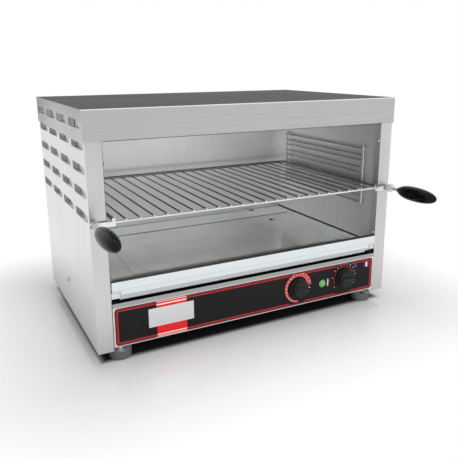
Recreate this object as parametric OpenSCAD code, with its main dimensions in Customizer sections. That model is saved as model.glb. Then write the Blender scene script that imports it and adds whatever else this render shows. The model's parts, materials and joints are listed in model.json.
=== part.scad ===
// Cheese melter: an open-fronted grill cabinet with a sliding wire shelf and a crumb tray.
// The modules draw in cabinet space: x = 0 on the middle plane, y = 0 on the cover's front
// face, z = 0 on the lower edge of the side panels. cabinet() puts them in the part's frame.

/* [Cabinet] */
// Width over the top cover
cover_w = 600; // [520:5:800]
// Depth over the top cover
cover_d = 386.5; // [360:0.5:480]
// Height from the lower edge of the side panels to the top
cabinet_h = 392.5; // [375:0.5:480]
// Height of the cover's folded rim
cover_rim = 48.5; // [44:0.5:56]
// Thickness of the cover sheet
cover_t = 1.5; // [1:0.1:2]
// Thickness of the outer panels
panel_t = 1.2; // [0.8:0.1:1.5]
// Thickness of the inner lining
liner_t = 1; // [0.7:0.1:1.2]
// Gap between the cover's rim and a side panel
rim_gap = 1; // [0.3:0.1:2]
// Width of each front stile
stile_w = 26.5; // [24:0.5:34]
// Depth of the fold behind each stile
return_d = 14.5; // [12:0.5:20]
// Air space between the rear lining and the rear panel
rear_space = 19; // [14:0.5:30]
// Air space between the ceiling and the cover
top_space = 16; // [8:0.5:18]

/* [Louvres] */
// Louvre columns on each side
louvre_cols = 4; // [2:1:4]
// Louvre rows below the cover
louvre_rows = 4; // [2:1:4]
// Length of a louvre
louvre_l = 83; // [50:1:84]
// Height of a louvre
louvre_h = 17; // [10:0.5:20]
// Depth that a louvre is pressed in
louvre_depth = 9; // [5:0.5:10]
// Width of the slit at the deep end of a louvre
louvre_slit = 1; // [1:0.5:3]
// Spacing of the columns
louvre_step_y = 96; // [90:0.5:97]
// Spacing of the rows
louvre_step_z = 37.5; // [28:0.1:40]
// Height of the row in the cover's rim, above the lower edge of the rim
louvre_rim_z = 25; // [22:0.5:26]
// Height of the highest row in the side panel, below the lower edge of the rim
louvre_drop = 7.5; // [7.5:0.5:20]
// Distance from the front face to the first louvre
louvre_y = 10; // [8:0.5:11]

/* [Controls] */
// Height of the control panel's lower edge
fascia_z0 = 5.8; // [4:0.1:8]
// Height of the control panel's upper edge
fascia_top = 82; // [78:0.5:95]
// Height of the printed foil
foil_h = 65.5; // [62:0.5:70]
// Width of the bare panel beside the foil
foil_side = 2.5; // [1:0.5:10]
// Thickness of the foil
foil_t = 0.3; // [0.2:0.1:0.5]
// Diameter of the knobs
knob_d = 39; // [30:0.5:42]
// Length of the knobs
knob_l = 16; // [12:0.5:24]
// Distance of the heat knob from the cover's right side
heat_in = 212; // [190:1:230]
// Distance of the timer knob from the cover's right side
timer_in = 103.5; // [85:0.5:115]
// Distance of the pilot lamp from the cover's right side
lamp_in = 156.5; // [150:0.5:166]
// Width of the heat regulator's case
heat_case_w = 38; // [30:1:44]
// Height of the heat regulator's case
heat_case_h = 42; // [30:1:48]
// Depth of the heat regulator's case
heat_depth = 42; // [30:1:50]
// Width of the timer's case
timer_case_w = 48; // [36:1:52]
// Height of the timer's case
timer_case_h = 50; // [40:1:56]
// Depth of the timer's case
timer_depth = 52; // [40:1:56]
// Diameter of the control spindles
spindle_d = 6; // [5:0.5:8]
// Play of a spindle in its bushing, on the radius
spindle_play = 0.05; // [0.02:0.01:0.1]
// Diameter of the pilot lamp's lens
lamp_d = 12; // [8:0.5:13]
// Width of the nameplate
plate_w = 82; // [40:1:120]
// Height of the nameplate
plate_h = 33.5; // [15:0.5:50]
// Distance from the cover's left side to the nameplate's centre
plate_in = 130; // [110:1:190]

/* [Crumb tray] */
// Height of the finger gap under the tray's front
finger_gap = 9.5; // [5:0.5:10]
// Height of the tray's front
tray_front_h = 27.5; // [26:0.5:36]
// Height of the tray's rim above the control panel
rim_rise = 20; // [18:0.5:24]
// Thickness of the tray's sheet
tray_t = 1; // [0.8:0.1:1.2]
// Width of the tray's side rims
tray_rim = 15; // [15:0.5:20]
// Depth of the tray's front fold
tray_fold = 12; // [10:0.5:16]
// Drop of the tray's floor towards the front
tray_drop = 17; // [6:0.5:17]
// Depth of the level part at the rear of the tray
tray_level = 62; // [40:1:90]
// Clearance between the tray and the stiles
tray_clear = 1; // [0.5:0.1:2]
// Height of the gap between the tray's rim and the lining
liner_gap = 2.5; // [1.5:0.1:4]
// Width of the border round the drip plate
plate_border = 51; // [30:1:90]
// Thickness of the drip plate
drip_t = 0.8; // [0.5:0.1:1.5]
// Play between a resting piece and its seat
seat_gap = 0.3; // [0.1:0.1:0.4]

/* [Rack and shelf] */
// Levels of the rack guides
levels = 5; // [3:1:5]
// Spacing of the levels
level_step = 24.2; // [24:0.1:27]
// Spacing of the two wires of a level
wire_gap = 13.7; // [13:0.1:14]
// Diameter of the rack wires
wire_d = 3; // [3:0.1:4]
// Height of the lowest wire above the tray's rim
rack_rise = 79; // [40:1:79]
// Distance from the front face to the rack guides
rack_y = 43; // [35:1:60]
// Length of the rack guides
rack_l = 279; // [240:1:280]
// Level on whose upper wires the shelf rests, counted from below
shelf_level = 1; // [0:1:2]
// Diameter of the shelf's frame rod
frame_d = 6; // [5:0.1:6]
// Diameter of the shelf's front rod
front_d = 4; // [4:0.1:5.5]
// Diameter of the shelf's bars
bar_d = 3; // [3:0.1:5]
// Smallest distance from the frame rods to the outermost bars
bar_margin = 14; // [12:1:24]
// Spacing of the bars
bar_step = 23; // [16:0.5:23]
// Depth of the shelf's frame
shelf_d = 329; // [300:1:330]
// Radius of the frame's rear corners
frame_r = 12; // [8:1:20]

/* [Handles] */
// Length of a grip
grip_l = 93; // [70:1:120]
// Diameter of a grip
grip_d = 27.5; // [22:0.5:34]
// Distance from a handle's axis to the side panel's outer face
handle_inset = 5; // [4:0.5:10]
// Height of a handle arm
arm_h = 8; // [7:0.5:9]
// Thickness of a handle arm
arm_t = 3; // [2.5:0.1:4]
// Length of a handle stem between its arm and its grip
stem_l = 29; // [24:1:40]
// Diameter of a handle stem's thread
stud_d = 6; // [5:0.5:6]
// Diameter of a handle stem's collar
collar_d = 17; // [14:0.5:20]

/* [Heating] */
// Diameter of the quartz tubes
tube_d = 12; // [10:0.5:14]
// Number of quartz tubes
tubes = 3; // [2:1:4]
// Spacing of the quartz tubes
tube_step = 92; // [40:1:95]
// Distance from the ceiling to the tubes' axis
tube_drop = 19; // [16:0.5:20]
// Diameter of the ceramic end caps
cap_d = 18; // [16:0.5:20]
// Length of the ceramic end caps
cap_l = 20; // [16:0.5:22]

/* [Feet] */
// Height from the support to the side panels
foot_h = 20; // [18:0.5:30]
// Diameter of a foot
foot_d = 38; // [28:0.5:44]
// Thickness of a foot
foot_t = 16.5; // [12:0.5:17]
// Distance from the front face to the front feet, and from the rear panel to the rear ones
foot_y = 20; // [19:0.5:40]
// Distance from a side panel to its feet
foot_x = 41; // [36:0.5:60]
// Diameter of a foot's stud
foot_stud = 8; // [6:0.5:8]
// Play of a stud in its nut, on the radius
stud_play = 0.05; // [0.02:0.01:0.1]

/* [Cable entry] */
// Diameter of the cable gland's thread
gland_d = 16; // [12:0.5:20]
// Length of the gland outside the rear panel
gland_out = 12; // [8:0.5:16]
// Height of the gland
gland_z = 42; // [34:0.5:46]
// Distance of the gland from the cover's right side
gland_in = 100; // [90:1:180]

/* [Hidden] */
$fn = 48;

// Cabinet
side_x = cover_w / 2 - cover_t - rim_gap;
wall_x = side_x - panel_t;
aperture_x = side_x - stile_w;
liner_x = aperture_x + panel_t;
face_y = cover_t;
lining_y = face_y + panel_t;
back_y = cover_d - cover_t;
flange_y = back_y - panel_t;
rear_wall_y = flange_y - rear_space;
under_cover = cabinet_h - cover_t;
rim_z0 = cabinet_h - cover_rim;
ceiling_z = under_cover - top_space;

// Crumb tray
front_z0 = fascia_top + finger_gap;
front_z1 = front_z0 + tray_front_h;
rim_z = fascia_top + rim_rise;
liner_z = rim_z + liner_gap;
tray_x = aperture_x - tray_clear;
well_x = tray_x - tray_rim;
tray_y1 = rear_wall_y - 3;
slope_y1 = rear_wall_y - tray_level - 3;
ear_x = tray_x - 14;
ear_w = 10.5;
ledge_z = rim_z - tray_t - seat_gap;
hole_d = 12;
hole_x = 184;

// Controls
fascia_x = aperture_x - 0.5;
foil_x = aperture_x - foil_side - 0.5;
foil_z0 = fascia_z0 + 1.7;
foil_y = face_y - foil_t;
foil_mid = foil_z0 + foil_h / 2;
control_z = foil_mid + 2;
foil_corner = 6;
bushing_d = 10;
heat_x = cover_w / 2 - heat_in;
timer_x = cover_w / 2 - timer_in;
lamp_x = cover_w / 2 - lamp_in;
plate_x = cover_w / 2 - plate_in;
gland_x = cover_w / 2 - gland_in;
lamp_depth = 24;
base_z = fascia_z0 + panel_t;
pan_edge = control_z - max(heat_case_h, timer_case_h) / 2 - seat_gap - base_z;
deck_z = fascia_top - 4;

// Rack and shelf
weld = 0.4;
shelf_y_out = 1;
rack_x = liner_x - 8.7;
rack_z = rim_z + rack_rise;
post_x = rack_x + wire_d * 0.75;
rack_y1 = rack_y + rack_l;
seat_z = rack_z + level_step * shelf_level + wire_gap;
frame_x = rack_x - 2.5;
frame_z = seat_z + sqrt(pow((wire_d + frame_d) / 2 + seat_gap, 2) - pow(rack_x - frame_x, 2));
bars = 2 * floor((frame_x - bar_margin) / bar_step + 0.5);
front_rod_z = frame_z - frame_d / 2 - front_d / 2 + weld;
bar_z = front_rod_z + front_d / 2 + bar_d / 2 - weld;
frame_y1 = shelf_d - 1;
handle_x = side_x - handle_inset;
arm_y1 = -shelf_y_out - front_d / 2 + weld;
arm_y0 = arm_y1 - arm_t;
handle_z = front_rod_z - 1;
front_y = (stem_l + grip_l - arm_y0 - back_y - gland_out) / 2;

// Heating
tube_z = ceiling_z - tube_drop;
tube_mid_y = (lining_y + rear_wall_y) / 2;
cap_x0 = liner_x - 8;

// Feet
foot_px = side_x - foot_x;
foot_py = [foot_y, cover_d - foot_y];
nut_af = 13;
nut_h = base_z - 0.6;

// Places of the screws
wall_screw_z = [front_z1 + 5.5, rim_z0 - 34];
wall_screw_y = lining_y + 5.5;
side_screw_y = 205;
side_screw_z = deck_z - 16;
rear_screw_x = wall_x - 8;
rear_screw_z = [32, 132, rim_z0 - louvre_drop - louvre_step_z * 2.5,
                rim_z0 - louvre_drop - louvre_step_z * 0.5];

module cabinet() {
    translate([0, front_y, foot_h]) children();
}

// Draws its children on the right side, or mirrored on the left side
module on_side(side) {
    if (side > 0) children();
    else mirror([1, 0, 0]) children();
}

module slab(x, y, z) {
    translate([x[0], y[0], z[0]]) cube([x[1] - x[0], y[1] - y[0], z[1] - z[0]]);
}

module rod_x(x, y, z, d) {
    translate([x[0], y, z]) rotate([0, 90, 0]) cylinder(d = d, h = x[1] - x[0]);
}

module rod_y(x, y, z, d) {
    translate([x, y[0], z]) rotate([-90, 0, 0]) cylinder(d = d, h = y[1] - y[0]);
}

module rod_z(x, y, z, d) {
    translate([x, y, z[0]]) cylinder(d = d, h = z[1] - z[0]);
}

// Extrudes a polygon of y and z points along x
module profile_x(x, points) {
    translate([x[0], 0, 0]) rotate([90, 0, 90]) linear_extrude(x[1] - x[0]) polygon(points);
}

// Places of the louvres: y and z of the front end, for the given rows
function louvre_ys() = [for (c = [0 : louvre_cols - 1]) louvre_y + louvre_step_y * c];
function louvre_zs() = [for (r = [0 : louvre_rows - 1])
    rim_z0 - louvre_drop - louvre_step_z * r];

// Outline of a louvre through a wall: round at the front, square at the rear
module louvre_outline(x, y, z, grow = 0) {
    h = louvre_h + 2 * grow;
    translate([x[0], y + louvre_h / 2, z])
        rotate([90, 0, 90])
            linear_extrude(x[1] - x[0]) {
                circle(d = h);
                translate([0, -h / 2]) square([louvre_l - louvre_h / 2 + grow, h]);
            }
}

// A wedge of the louvre's ramp: its depth at the front end and at the rear end
module louvre_wedge(x, y, z, depths) {
    translate([0, 0, z - louvre_h])
        linear_extrude(2 * louvre_h)
            polygon([[x, y[0]], [x - depths[0], y[0]], [x - depths[1], y[1]], [x, y[1]]]);
}

// A louvre's pressed scoop behind a wall with its inner face at x: a ramp that runs in to the
// rear, and a tongue of the wall folded in there, with a slit between them
module louvre_scoop(x, y, z) {
    y1 = y + louvre_l;
    skin = 0.8;
    bite = 0.4;
    back = x - louvre_depth - skin;
    half_h = louvre_h / 2 + skin;
    difference() {
        intersection() {
            louvre_outline([back - 1, x + bite], y, z, skin);
            louvre_wedge(x + bite, [y - 2, y1], z,
                         [skin + bite, skin + louvre_depth + bite]);
        }
        intersection() {
            louvre_outline([back - 1, x + 1], y, z);
            louvre_wedge(x + 1, [y - 2, y1 + 2], z, [1.05, louvre_depth + 1]);
        }
    }
    slab([x - louvre_depth + louvre_slit, x + bite], [y1 - skin, y1 + bite],
         [z - half_h, z + half_h]);
}

module louvre_field(x, zs) {
    for (y = louvre_ys(), z = zs) louvre_scoop(x, y, z);
}

module louvre_holes(x, zs, grow = 0) {
    for (y = louvre_ys(), z = zs)
        if (grow > 0)
            slab(x, [y - grow, y + louvre_l + 0.9],
                 [z - louvre_h / 2 - grow, z + louvre_h / 2 + grow]);
        else
            louvre_outline(x, y, z);
}

// Folded top cover with a rim all round
module top_cover() {
    rim_rows = [rim_z0 + louvre_rim_z];
    color("silver") cabinet() {
        difference() {
            slab([-cover_w / 2, cover_w / 2], [0, cover_d], [rim_z0, cabinet_h]);
            slab([-cover_w / 2 + cover_t, cover_w / 2 - cover_t],
                 [cover_t, cover_d - cover_t], [rim_z0 - 1, under_cover]);
            for (side = [-1, 1])
                on_side(side)
                    louvre_holes([cover_w / 2 - cover_t - 1, cover_w / 2 + 1], rim_rows);
        }
        for (side = [-1, 1]) on_side(side) louvre_field(cover_w / 2 - cover_t, rim_rows);
    }
}

// Outer side panel, folded round the front as a stile
module side_panel(side) {
    lip = 14;
    rear_lip = 17;
    color("gainsboro") cabinet() on_side(side) {
        difference() {
            union() {
                slab([wall_x, side_x], [face_y, back_y], [0, under_cover]);
                slab([aperture_x, side_x], [face_y, lining_y], [0, under_cover]);
                slab([aperture_x, liner_x], [face_y, face_y + return_d],
                     [liner_z, under_cover]);
                slab([side_x - lip, side_x], [face_y, flange_y],
                     [under_cover - panel_t, under_cover]);
                slab([side_x - rear_lip, side_x], [flange_y - panel_t, flange_y],
                     [base_z + 14, under_cover]);
            }
            louvre_holes([wall_x - 1, side_x + 1], louvre_zs());
            louvre_holes([wall_x - 1, side_x + 1], [rim_z0 + louvre_rim_z], 2.5);
            rod_x([wall_x - 1, side_x + 1], side_screw_y, side_screw_z, 4.2);
            for (z = wall_screw_z)
                rod_x([aperture_x - 1, liner_x + 1], wall_screw_y, z, 4.2);
            for (z = rear_screw_z)
                rod_y(rear_screw_x, [flange_y - 3, flange_y + 1], z, 4.2);
        }
        louvre_field(wall_x, louvre_zs());
    }
}

module side_panel_left() { side_panel(-1); }
module side_panel_right() { side_panel(1); }

// Outer rear panel with two fields of air slots
module rear_panel() {
    slot_w = 44;
    slot_h = 5;
    upper_z = rim_z0 - 76;
    lower_z = 36;
    color("darkgray") cabinet() difference() {
        slab([-wall_x, wall_x], [flange_y, back_y], [base_z, under_cover]);
        for (c = [-2 : 2], r = [0 : 4])
            slab([c * 86 - slot_w / 2, c * 86 + slot_w / 2], [back_y - 4, back_y + 1],
                 [upper_z + 12 * r, upper_z + slot_h + 12 * r]);
        for (c = [-2 : 1], r = [0 : 1])
            slab([c * 86 - slot_w / 2, c * 86 + slot_w / 2], [back_y - 4, back_y + 1],
                 [lower_z + 12 * r, lower_z + slot_h + 12 * r]);
        rod_y(gland_x, [back_y - 4, back_y + 1], gland_z, gland_d + 0.4);
        for (side = [-1, 1], z = rear_screw_z)
            rod_y(side * rear_screw_x, [back_y - 4, back_y + 1], z, 4.2);
    }
}

// Base pan with turned-up edges
module base_pan() {
    slot_l = 36;
    slot_h = 5;
    x1 = wall_x;
    y0 = lining_y + 1.3;
    y1 = flange_y;
    slot_step = x1 / 5;
    color("darkgray") cabinet() difference() {
        slab([-x1, x1], [y0, y1], [base_z, base_z + pan_edge]);
        slab([-x1 + panel_t, x1 - panel_t], [y0 + panel_t, y1 - panel_t],
             [base_z + panel_t, base_z + pan_edge + 1]);
        for (side = [-1, 1], y = foot_py)
            rod_z(side * foot_px, y, [base_z - 1, base_z + panel_t + 1], foot_stud + 1);
        for (c = [-3 : 3], y = [0.4, 0.64] * back_y)
            slab([c * slot_step - slot_l / 2, c * slot_step + slot_l / 2],
                 [y - slot_h / 2, y + slot_h / 2], [base_z - 1, base_z + panel_t + 1]);
    }
}

// Front control panel with folded edges
module control_panel() {
    fold = tray_fold - panel_t;
    color("silver") cabinet() difference() {
        union() {
            slab([-fascia_x, fascia_x], [face_y, lining_y], [fascia_z0, fascia_top]);
            slab([-ear_x + 2, ear_x - 2], [face_y, face_y + fold],
                 [fascia_top - panel_t, fascia_top]);
            slab([-ear_x + 2, ear_x - 2], [face_y, face_y + fold],
                 [fascia_z0, fascia_z0 + panel_t]);
        }
        control_holes([face_y - 1, lining_y + 1]);
    }
}

module control_holes(y) {
    for (x = [heat_x, timer_x]) rod_y(x, y, control_z, bushing_d + 1);
    rod_y(lamp_x, y, foil_mid, lamp_d + 1.7);
}

// Printed foil on the control panel
module panel_foil() {
    r = foil_corner;
    z1 = foil_z0 + foil_h;
    color("black") cabinet() difference() {
        union() {
            slab([-foil_x + r, foil_x - r], [foil_y, face_y], [foil_z0, z1]);
            slab([-foil_x, foil_x], [foil_y, face_y], [foil_z0 + r, z1 - r]);
            for (x = [-foil_x + r, foil_x - r], z = [foil_z0 + r, z1 - r])
                rod_y(x, [foil_y, face_y], z, 2 * r);
        }
        control_holes([foil_y - 1, face_y + 1]);
    }
}

// Bare plate on the foil
module nameplate() {
    plate_t = 0.8;
    z = foil_mid + 4.3;
    color("whitesmoke") cabinet()
        slab([-plate_x - plate_w / 2, -plate_x + plate_w / 2], [foil_y - plate_t, foil_y],
             [z - plate_h / 2, z + plate_h / 2]);
}

// Inner side wall of the grill space
module liner_side(side) {
    color("gray") cabinet() on_side(side) difference() {
        slab([liner_x, liner_x + liner_t], [lining_y, rear_wall_y + liner_t],
             [liner_z, ceiling_z + liner_t]);
        for (y = tube_ys()) rod_x([liner_x - 1, liner_x + liner_t + 1], y, tube_z, cap_d + 0.3);
        for (z = wall_screw_z)
            rod_x([liner_x - 1, liner_x + liner_t + 1], wall_screw_y, z, 4.2);
        for (y = peg_ys(), z = peg_zs())
            rod_x([liner_x - 1, liner_x + liner_t + 1], y, z, wire_d + 0.2);
    }
}

module liner_left() { liner_side(-1); }
module liner_right() { liner_side(1); }

// Inner rear wall
module liner_rear() {
    color("gray") cabinet()
        slab([-liner_x, liner_x], [rear_wall_y, rear_wall_y + liner_t],
             [ledge_z + seat_gap, ceiling_z + liner_t]);
}

// Ceiling that throws the heat down, with a lip behind the cover's rim
module ceiling_reflector() {
    color("lightgray") cabinet() {
        slab([-liner_x, liner_x], [face_y + return_d, rear_wall_y],
             [ceiling_z, ceiling_z + liner_t]);
        slab([-aperture_x, aperture_x], [lining_y, face_y + return_d],
             [ceiling_z, ceiling_z + liner_t]);
        slab([-aperture_x, aperture_x], [lining_y, lining_y + liner_t],
             [rim_z0 + 2, ceiling_z + liner_t]);
    }
}

// Deck between the controls and the tray, fixed to both side panels
module deck_plate() {
    flange = 28;
    y = [lining_y + 13.5, flange_y - panel_t];
    color("darkgray") cabinet() difference() {
        union() {
            slab([-wall_x, wall_x], y, [deck_z, deck_z + panel_t]);
            for (side = [-1, 1])
                on_side(side)
                    slab([wall_x - panel_t, wall_x], y, [deck_z - flange, deck_z + panel_t]);
        }
        for (side = [-1, 1])
            on_side(side)
                rod_x([wall_x - 4, wall_x + 1], side_screw_y, side_screw_z, 4.2);
        rod_z(loom_x, loom_y, [deck_z - 1, deck_z + panel_t + 1], 5);
    }
}

// Runner that carries the tray's rim, with an ear beside the tray's front
module tray_runner(side) {
    deck = deck_z + panel_t;
    y1 = rear_wall_y + liner_t;
    y0 = lining_y + 0.2;
    color("silver") cabinet() on_side(side) {
        slab([liner_x, liner_x + panel_t], [face_y + return_d, y1], [deck, liner_z]);
        slab([liner_x, liner_x + panel_t], [y0, y1], [front_z0, liner_z]);
        slab([ear_x + 2, liner_x + panel_t], [face_y + return_d, y1],
             [ledge_z - panel_t, ledge_z]);
        slab([liner_x, liner_x + 10], [face_y + return_d, y1], [deck, deck + panel_t]);
        slab([ear_x + 14 - ear_w, liner_x + panel_t], [y0, y0 + panel_t],
             [front_z0, ledge_z]);
    }
}

module tray_runner_left() { tray_runner(-1); }
module tray_runner_right() { tray_runner(1); }

// Height of the tray's floor at a distance y from the front face
function floor_z(y) =
    rim_z - tray_drop * max(0, slope_y1 - y) / (slope_y1 - tray_fold);

// Crumb tray: a level rear part, a floor that falls to the front, rims and a folded front
module crumb_tray() {
    f = tray_fold;
    t = tray_t;
    z0 = floor_z(f - t);
    floor_line = [[f - t, z0], [slope_y1, rim_z], [tray_y1, rim_z],
                  [tray_y1, rim_z - t], [slope_y1, rim_z - t], [f - t, z0 - t]];
    cheek = [[f - t, z0 - t], [slope_y1, rim_z - t], [slope_y1, rim_z],
             [f - t, rim_z]];
    front = [[f - t, z0 - t], [f, z0 - t], [f, front_z1], [0, front_z1],
             [0, front_z0], [4, front_z0], [4, front_z0 + t], [t, front_z0 + t],
             [t, front_z1 - t], [f - t, front_z1 - t]];
    color("aliceblue") cabinet() difference() {
        union() {
            profile_x([-well_x, well_x], floor_line);
            profile_x([-tray_x, tray_x], front);
            for (side = [-1, 1])
                on_side(side) {
                    profile_x([well_x - t, well_x], cheek);
                    slab([well_x - t, tray_x], [f - t, tray_y1], [rim_z - t, rim_z]);
                }
        }
        for (side = [-1, 1])
            on_side(side) {
                slab([ear_x, tray_x + 1], [-1, f + 1], [z0 - t - 1, rim_z - t]);
                slab([ear_x, tray_x + 1], [-1, f - t], [z0 - t - 1, rim_z + 0.3]);
                slab([well_x, ear_x + 1], [f - t - 0.5, f + 1],
                     [z0 - t - 1, rim_z - t]);
                rod_z(hole_x, tray_y1 - 9, [rim_z - 4, rim_z + 4], hole_d);
                rod_z(hole_x + 3, slope_y1 - 36, [rim_z - 9, rim_z + 4], hole_d);
            }
    }
}

// Polished plate that lies on the tray's floor
module drip_plate() {
    y0 = tray_fold + 3;
    y1 = slope_y1 - plate_border + 8;
    lift = seat_gap / 3;
    color("slategray") cabinet()
        profile_x([-well_x + plate_border, well_x - plate_border],
                  [[y0, floor_z(y0) + lift], [y1, floor_z(y1) + lift],
                   [y1, floor_z(y1) + lift + drip_t], [y0, floor_z(y0) + lift + drip_t]]);
}

function peg_ys() = [rack_y, rack_y1];
function peg_zs() = [rack_z - 4, rack_z + level_step * (levels - 1) + wire_gap + 4];

// Rack guide: wire pairs for the shelf, hung on the inner side wall by four pegs
module rack_guide(side) {
    post_z = [rack_z - 4, rack_z + level_step * (levels - 1) + wire_gap + 4];
    color("gainsboro") cabinet() on_side(side) {
        for (i = [0 : levels - 1], j = [0, 1])
            rod_y(rack_x, [rack_y, rack_y1], rack_z + level_step * i + wire_gap * j, wire_d);
        for (y = peg_ys()) {
            rod_z(post_x, y, post_z, wire_d);
            for (z = post_z) {
                translate([post_x, y, z]) sphere(d = wire_d);
                rod_x([post_x, liner_x + liner_t + 1.5], y, z, wire_d);
            }
        }
    }
}

module rack_guide_left() { rack_guide(-1); }
module rack_guide_right() { rack_guide(1); }

// Wire shelf: bent frame rod, front rod, bars, and an arm at each end for a handle
module wire_shelf() {
    y0 = -shelf_y_out;
    y1 = frame_y1;
    color("whitesmoke") cabinet() {
        rod_x([-frame_x + frame_r, frame_x - frame_r], y1, frame_z, frame_d);
        rod_x([-frame_x - 1, frame_x + 1], y0, front_rod_z, front_d);
        for (i = [0 : bars - 1])
            rod_y((i - (bars - 1) / 2) * bar_step, [y0 - 2, y1], bar_z, bar_d);
        for (side = [-1, 1])
            on_side(side) {
                rod_y(frame_x, [y0 - 1, y1 - frame_r], frame_z, frame_d);
                translate([frame_x - frame_r, y1 - frame_r, frame_z])
                    rotate_extrude(angle = 90) translate([frame_r, 0]) circle(d = frame_d);
                difference() {
                    union() {
                        slab([frame_x - 2, handle_x], [arm_y0, arm_y1],
                             [handle_z - arm_h / 2, handle_z + arm_h / 2]);
                        rod_y(handle_x, [arm_y0, arm_y1], handle_z, arm_h + 4);
                    }
                    rod_y(handle_x, [arm_y0 - 1, arm_y1 + 1], handle_z, stud_d + 0.2);
                }
            }
    }
}

// Turned handle stem: thread through the arm, collar, neck and thread in the grip
module handle_stem(side) {
    seat = arm_y0;
    color("silver") cabinet() on_side(side) {
        rod_y(handle_x, [seat - 1, arm_y1 + 3.4], handle_z, stud_d);
        rod_y(handle_x, [seat - 4, seat], handle_z, collar_d * 0.62);
        rod_y(handle_x, [seat - 7.5, seat - 4], handle_z, collar_d);
        rod_y(handle_x, [seat - 10.5, seat - 7.5], handle_z, collar_d * 0.62);
        rod_y(handle_x, [seat - stem_l, seat - 10.5], handle_z, stud_d + 1);
        rod_y(handle_x, [seat - stem_l - 38, seat - stem_l], handle_z, stud_d);
    }
}

module handle_stem_left() { handle_stem(-1); }
module handle_stem_right() { handle_stem(1); }

// Nuts behind the handle arms
module handle_nuts() {
    nut_t = 3;
    color("silver") cabinet()
        for (side = [-1, 1])
            on_side(side) difference() {
                translate([handle_x, arm_y1, handle_z])
                    rotate([-90, 0, 0]) cylinder(d = 9.5, h = nut_t, $fn = 6);
                rod_y(handle_x, [arm_y1 - 1, arm_y1 + nut_t + 1], handle_z, stud_d + 0.04);
            }
}

// Olive-shaped grip
function olive(u) = pow(max(0, 1 - pow(abs(2 * u - 1), 2.2)), 1 / 2.2);

module grip(side) {
    steps = 22;
    y1 = arm_y0 - stem_l;
    color("#151515") cabinet() on_side(side) difference() {
        translate([handle_x, y1, handle_z])
            rotate([90, 0, 0])
                rotate_extrude()
                    polygon(concat([[0, 0]],
                        [for (i = [0 : steps - 1]) let (u = (1 - cos(180 * (i + 0.5) / steps)) / 2)
                            [max(grip_d / 2 * olive(u), stud_d / 2 + 2), grip_l * u]],
                        [[0, grip_l]]));
        rod_y(handle_x, [y1 - 40, y1 + 1], handle_z, stud_d + 0.04);
    }
}

module grip_left() { grip(-1); }
module grip_right() { grip(1); }

function tube_ys() = [for (i = [0 : tubes - 1]) tube_mid_y + (i - (tubes - 1) / 2) * tube_step];

// Quartz tubes of the heating elements
module quartz_tubes() {
    x1 = cap_x0 + 4;
    color("lightyellow") cabinet()
        for (y = tube_ys()) difference() {
            rod_x([-x1, x1], y, tube_z, tube_d);
            rod_x([-x1 - 1, x1 + 1], y, tube_z, tube_d - 2.4);
        }
}

// Heating coils inside the quartz tubes, drawn as their outer form
module heating_coils() {
    x1 = cap_x0 + 4;
    color("dimgray") cabinet()
        for (y = tube_ys()) rod_x([-x1, x1], y, tube_z, tube_d - 6);
}

// Ceramic end caps, held in the side walls
module tube_caps() {
    color("ivory") cabinet()
        for (y = tube_ys(), side = [-1, 1])
            on_side(side) difference() {
                union() {
                    rod_x([cap_x0, cap_x0 + cap_l], y, tube_z, cap_d);
                    rod_x([cap_x0 - 2, liner_x - seat_gap], y, tube_z, cap_d + 4);
                }
                rod_x([cap_x0 - 3, cap_x0 + 4], y, tube_z, tube_d + 0.04);
            }
}

// Case of a control: fixing plate, body and a bushing with a bore for its spindle
module control_case(x, size, depth) {
    plate_t = 1.5;
    bore = spindle_d + 2 * spindle_play;
    difference() {
        union() {
            slab([x - size[0] / 2 - 5, x + size[0] / 2 + 5], [lining_y, lining_y + plate_t],
                 [control_z - size[1] / 2, control_z + size[1] / 2]);
            slab([x - size[0] / 2, x + size[0] / 2], [lining_y + plate_t, lining_y + depth],
                 [control_z - size[1] / 2, control_z + size[1] / 2]);
            rod_y(x, [foil_y, lining_y + 1], control_z, bushing_d);
        }
        rod_y(x, [foil_y - 1, lining_y + 20], control_z, bore);
    }
}

module control_spindle(x) {
    rod_y(x, [foil_y - knob_l + 4, lining_y + 19.7], control_z, spindle_d);
}

// Knob with a skirt, a tapered body and a raised pointer ridge
module control_knob(x) {
    y1 = foil_y - 0.8;
    skirt = 3;
    ridge = 3.5;
    difference() {
        union() {
            rod_y(x, [y1 - skirt, y1], control_z, knob_d);
            translate([x, y1 - skirt, control_z]) rotate([90, 0, 0])
                cylinder(d1 = knob_d - 3, d2 = knob_d - 6, h = knob_l - skirt - ridge, $fn = 64);
            slab([x - 4, x + 4], [y1 - knob_l, y1 - knob_l + ridge + 0.5],
                 [control_z - knob_d / 2 + 4.5, control_z + knob_d / 2 - 4.5]);
        }
        rod_y(x, [foil_y - knob_l + 4, y1 + 1], control_z, spindle_d + 0.04);
    }
}

module heat_regulator() {
    color("dimgray") cabinet()
        control_case(heat_x, [heat_case_w, heat_case_h], heat_depth);
}

module heat_spindle() {
    color("gold") cabinet() control_spindle(heat_x);
}

module heat_knob() {
    color("#1c1c1c") cabinet() control_knob(heat_x);
}

module timer_case() {
    color("darkgray") cabinet()
        control_case(timer_x, [timer_case_w, timer_case_h], timer_depth);
}

module timer_spindle() {
    color("gold") cabinet() control_spindle(timer_x);
}

module timer_knob() {
    color("#1c1c1c") cabinet() control_knob(timer_x);
}

// Pilot lamp: bezel and barrel
module lamp_body() {
    color("whitesmoke") cabinet() difference() {
        union() {
            rod_y(lamp_x, [foil_y - 1.2, foil_y], foil_mid, lamp_d + 3.5);
            rod_y(lamp_x, [foil_y - 0.5, lining_y + lamp_depth], foil_mid, lamp_d + 1.5);
        }
        rod_y(lamp_x, [foil_y - 2, foil_y + 6], foil_mid, lamp_d + 0.04);
    }
}

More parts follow.
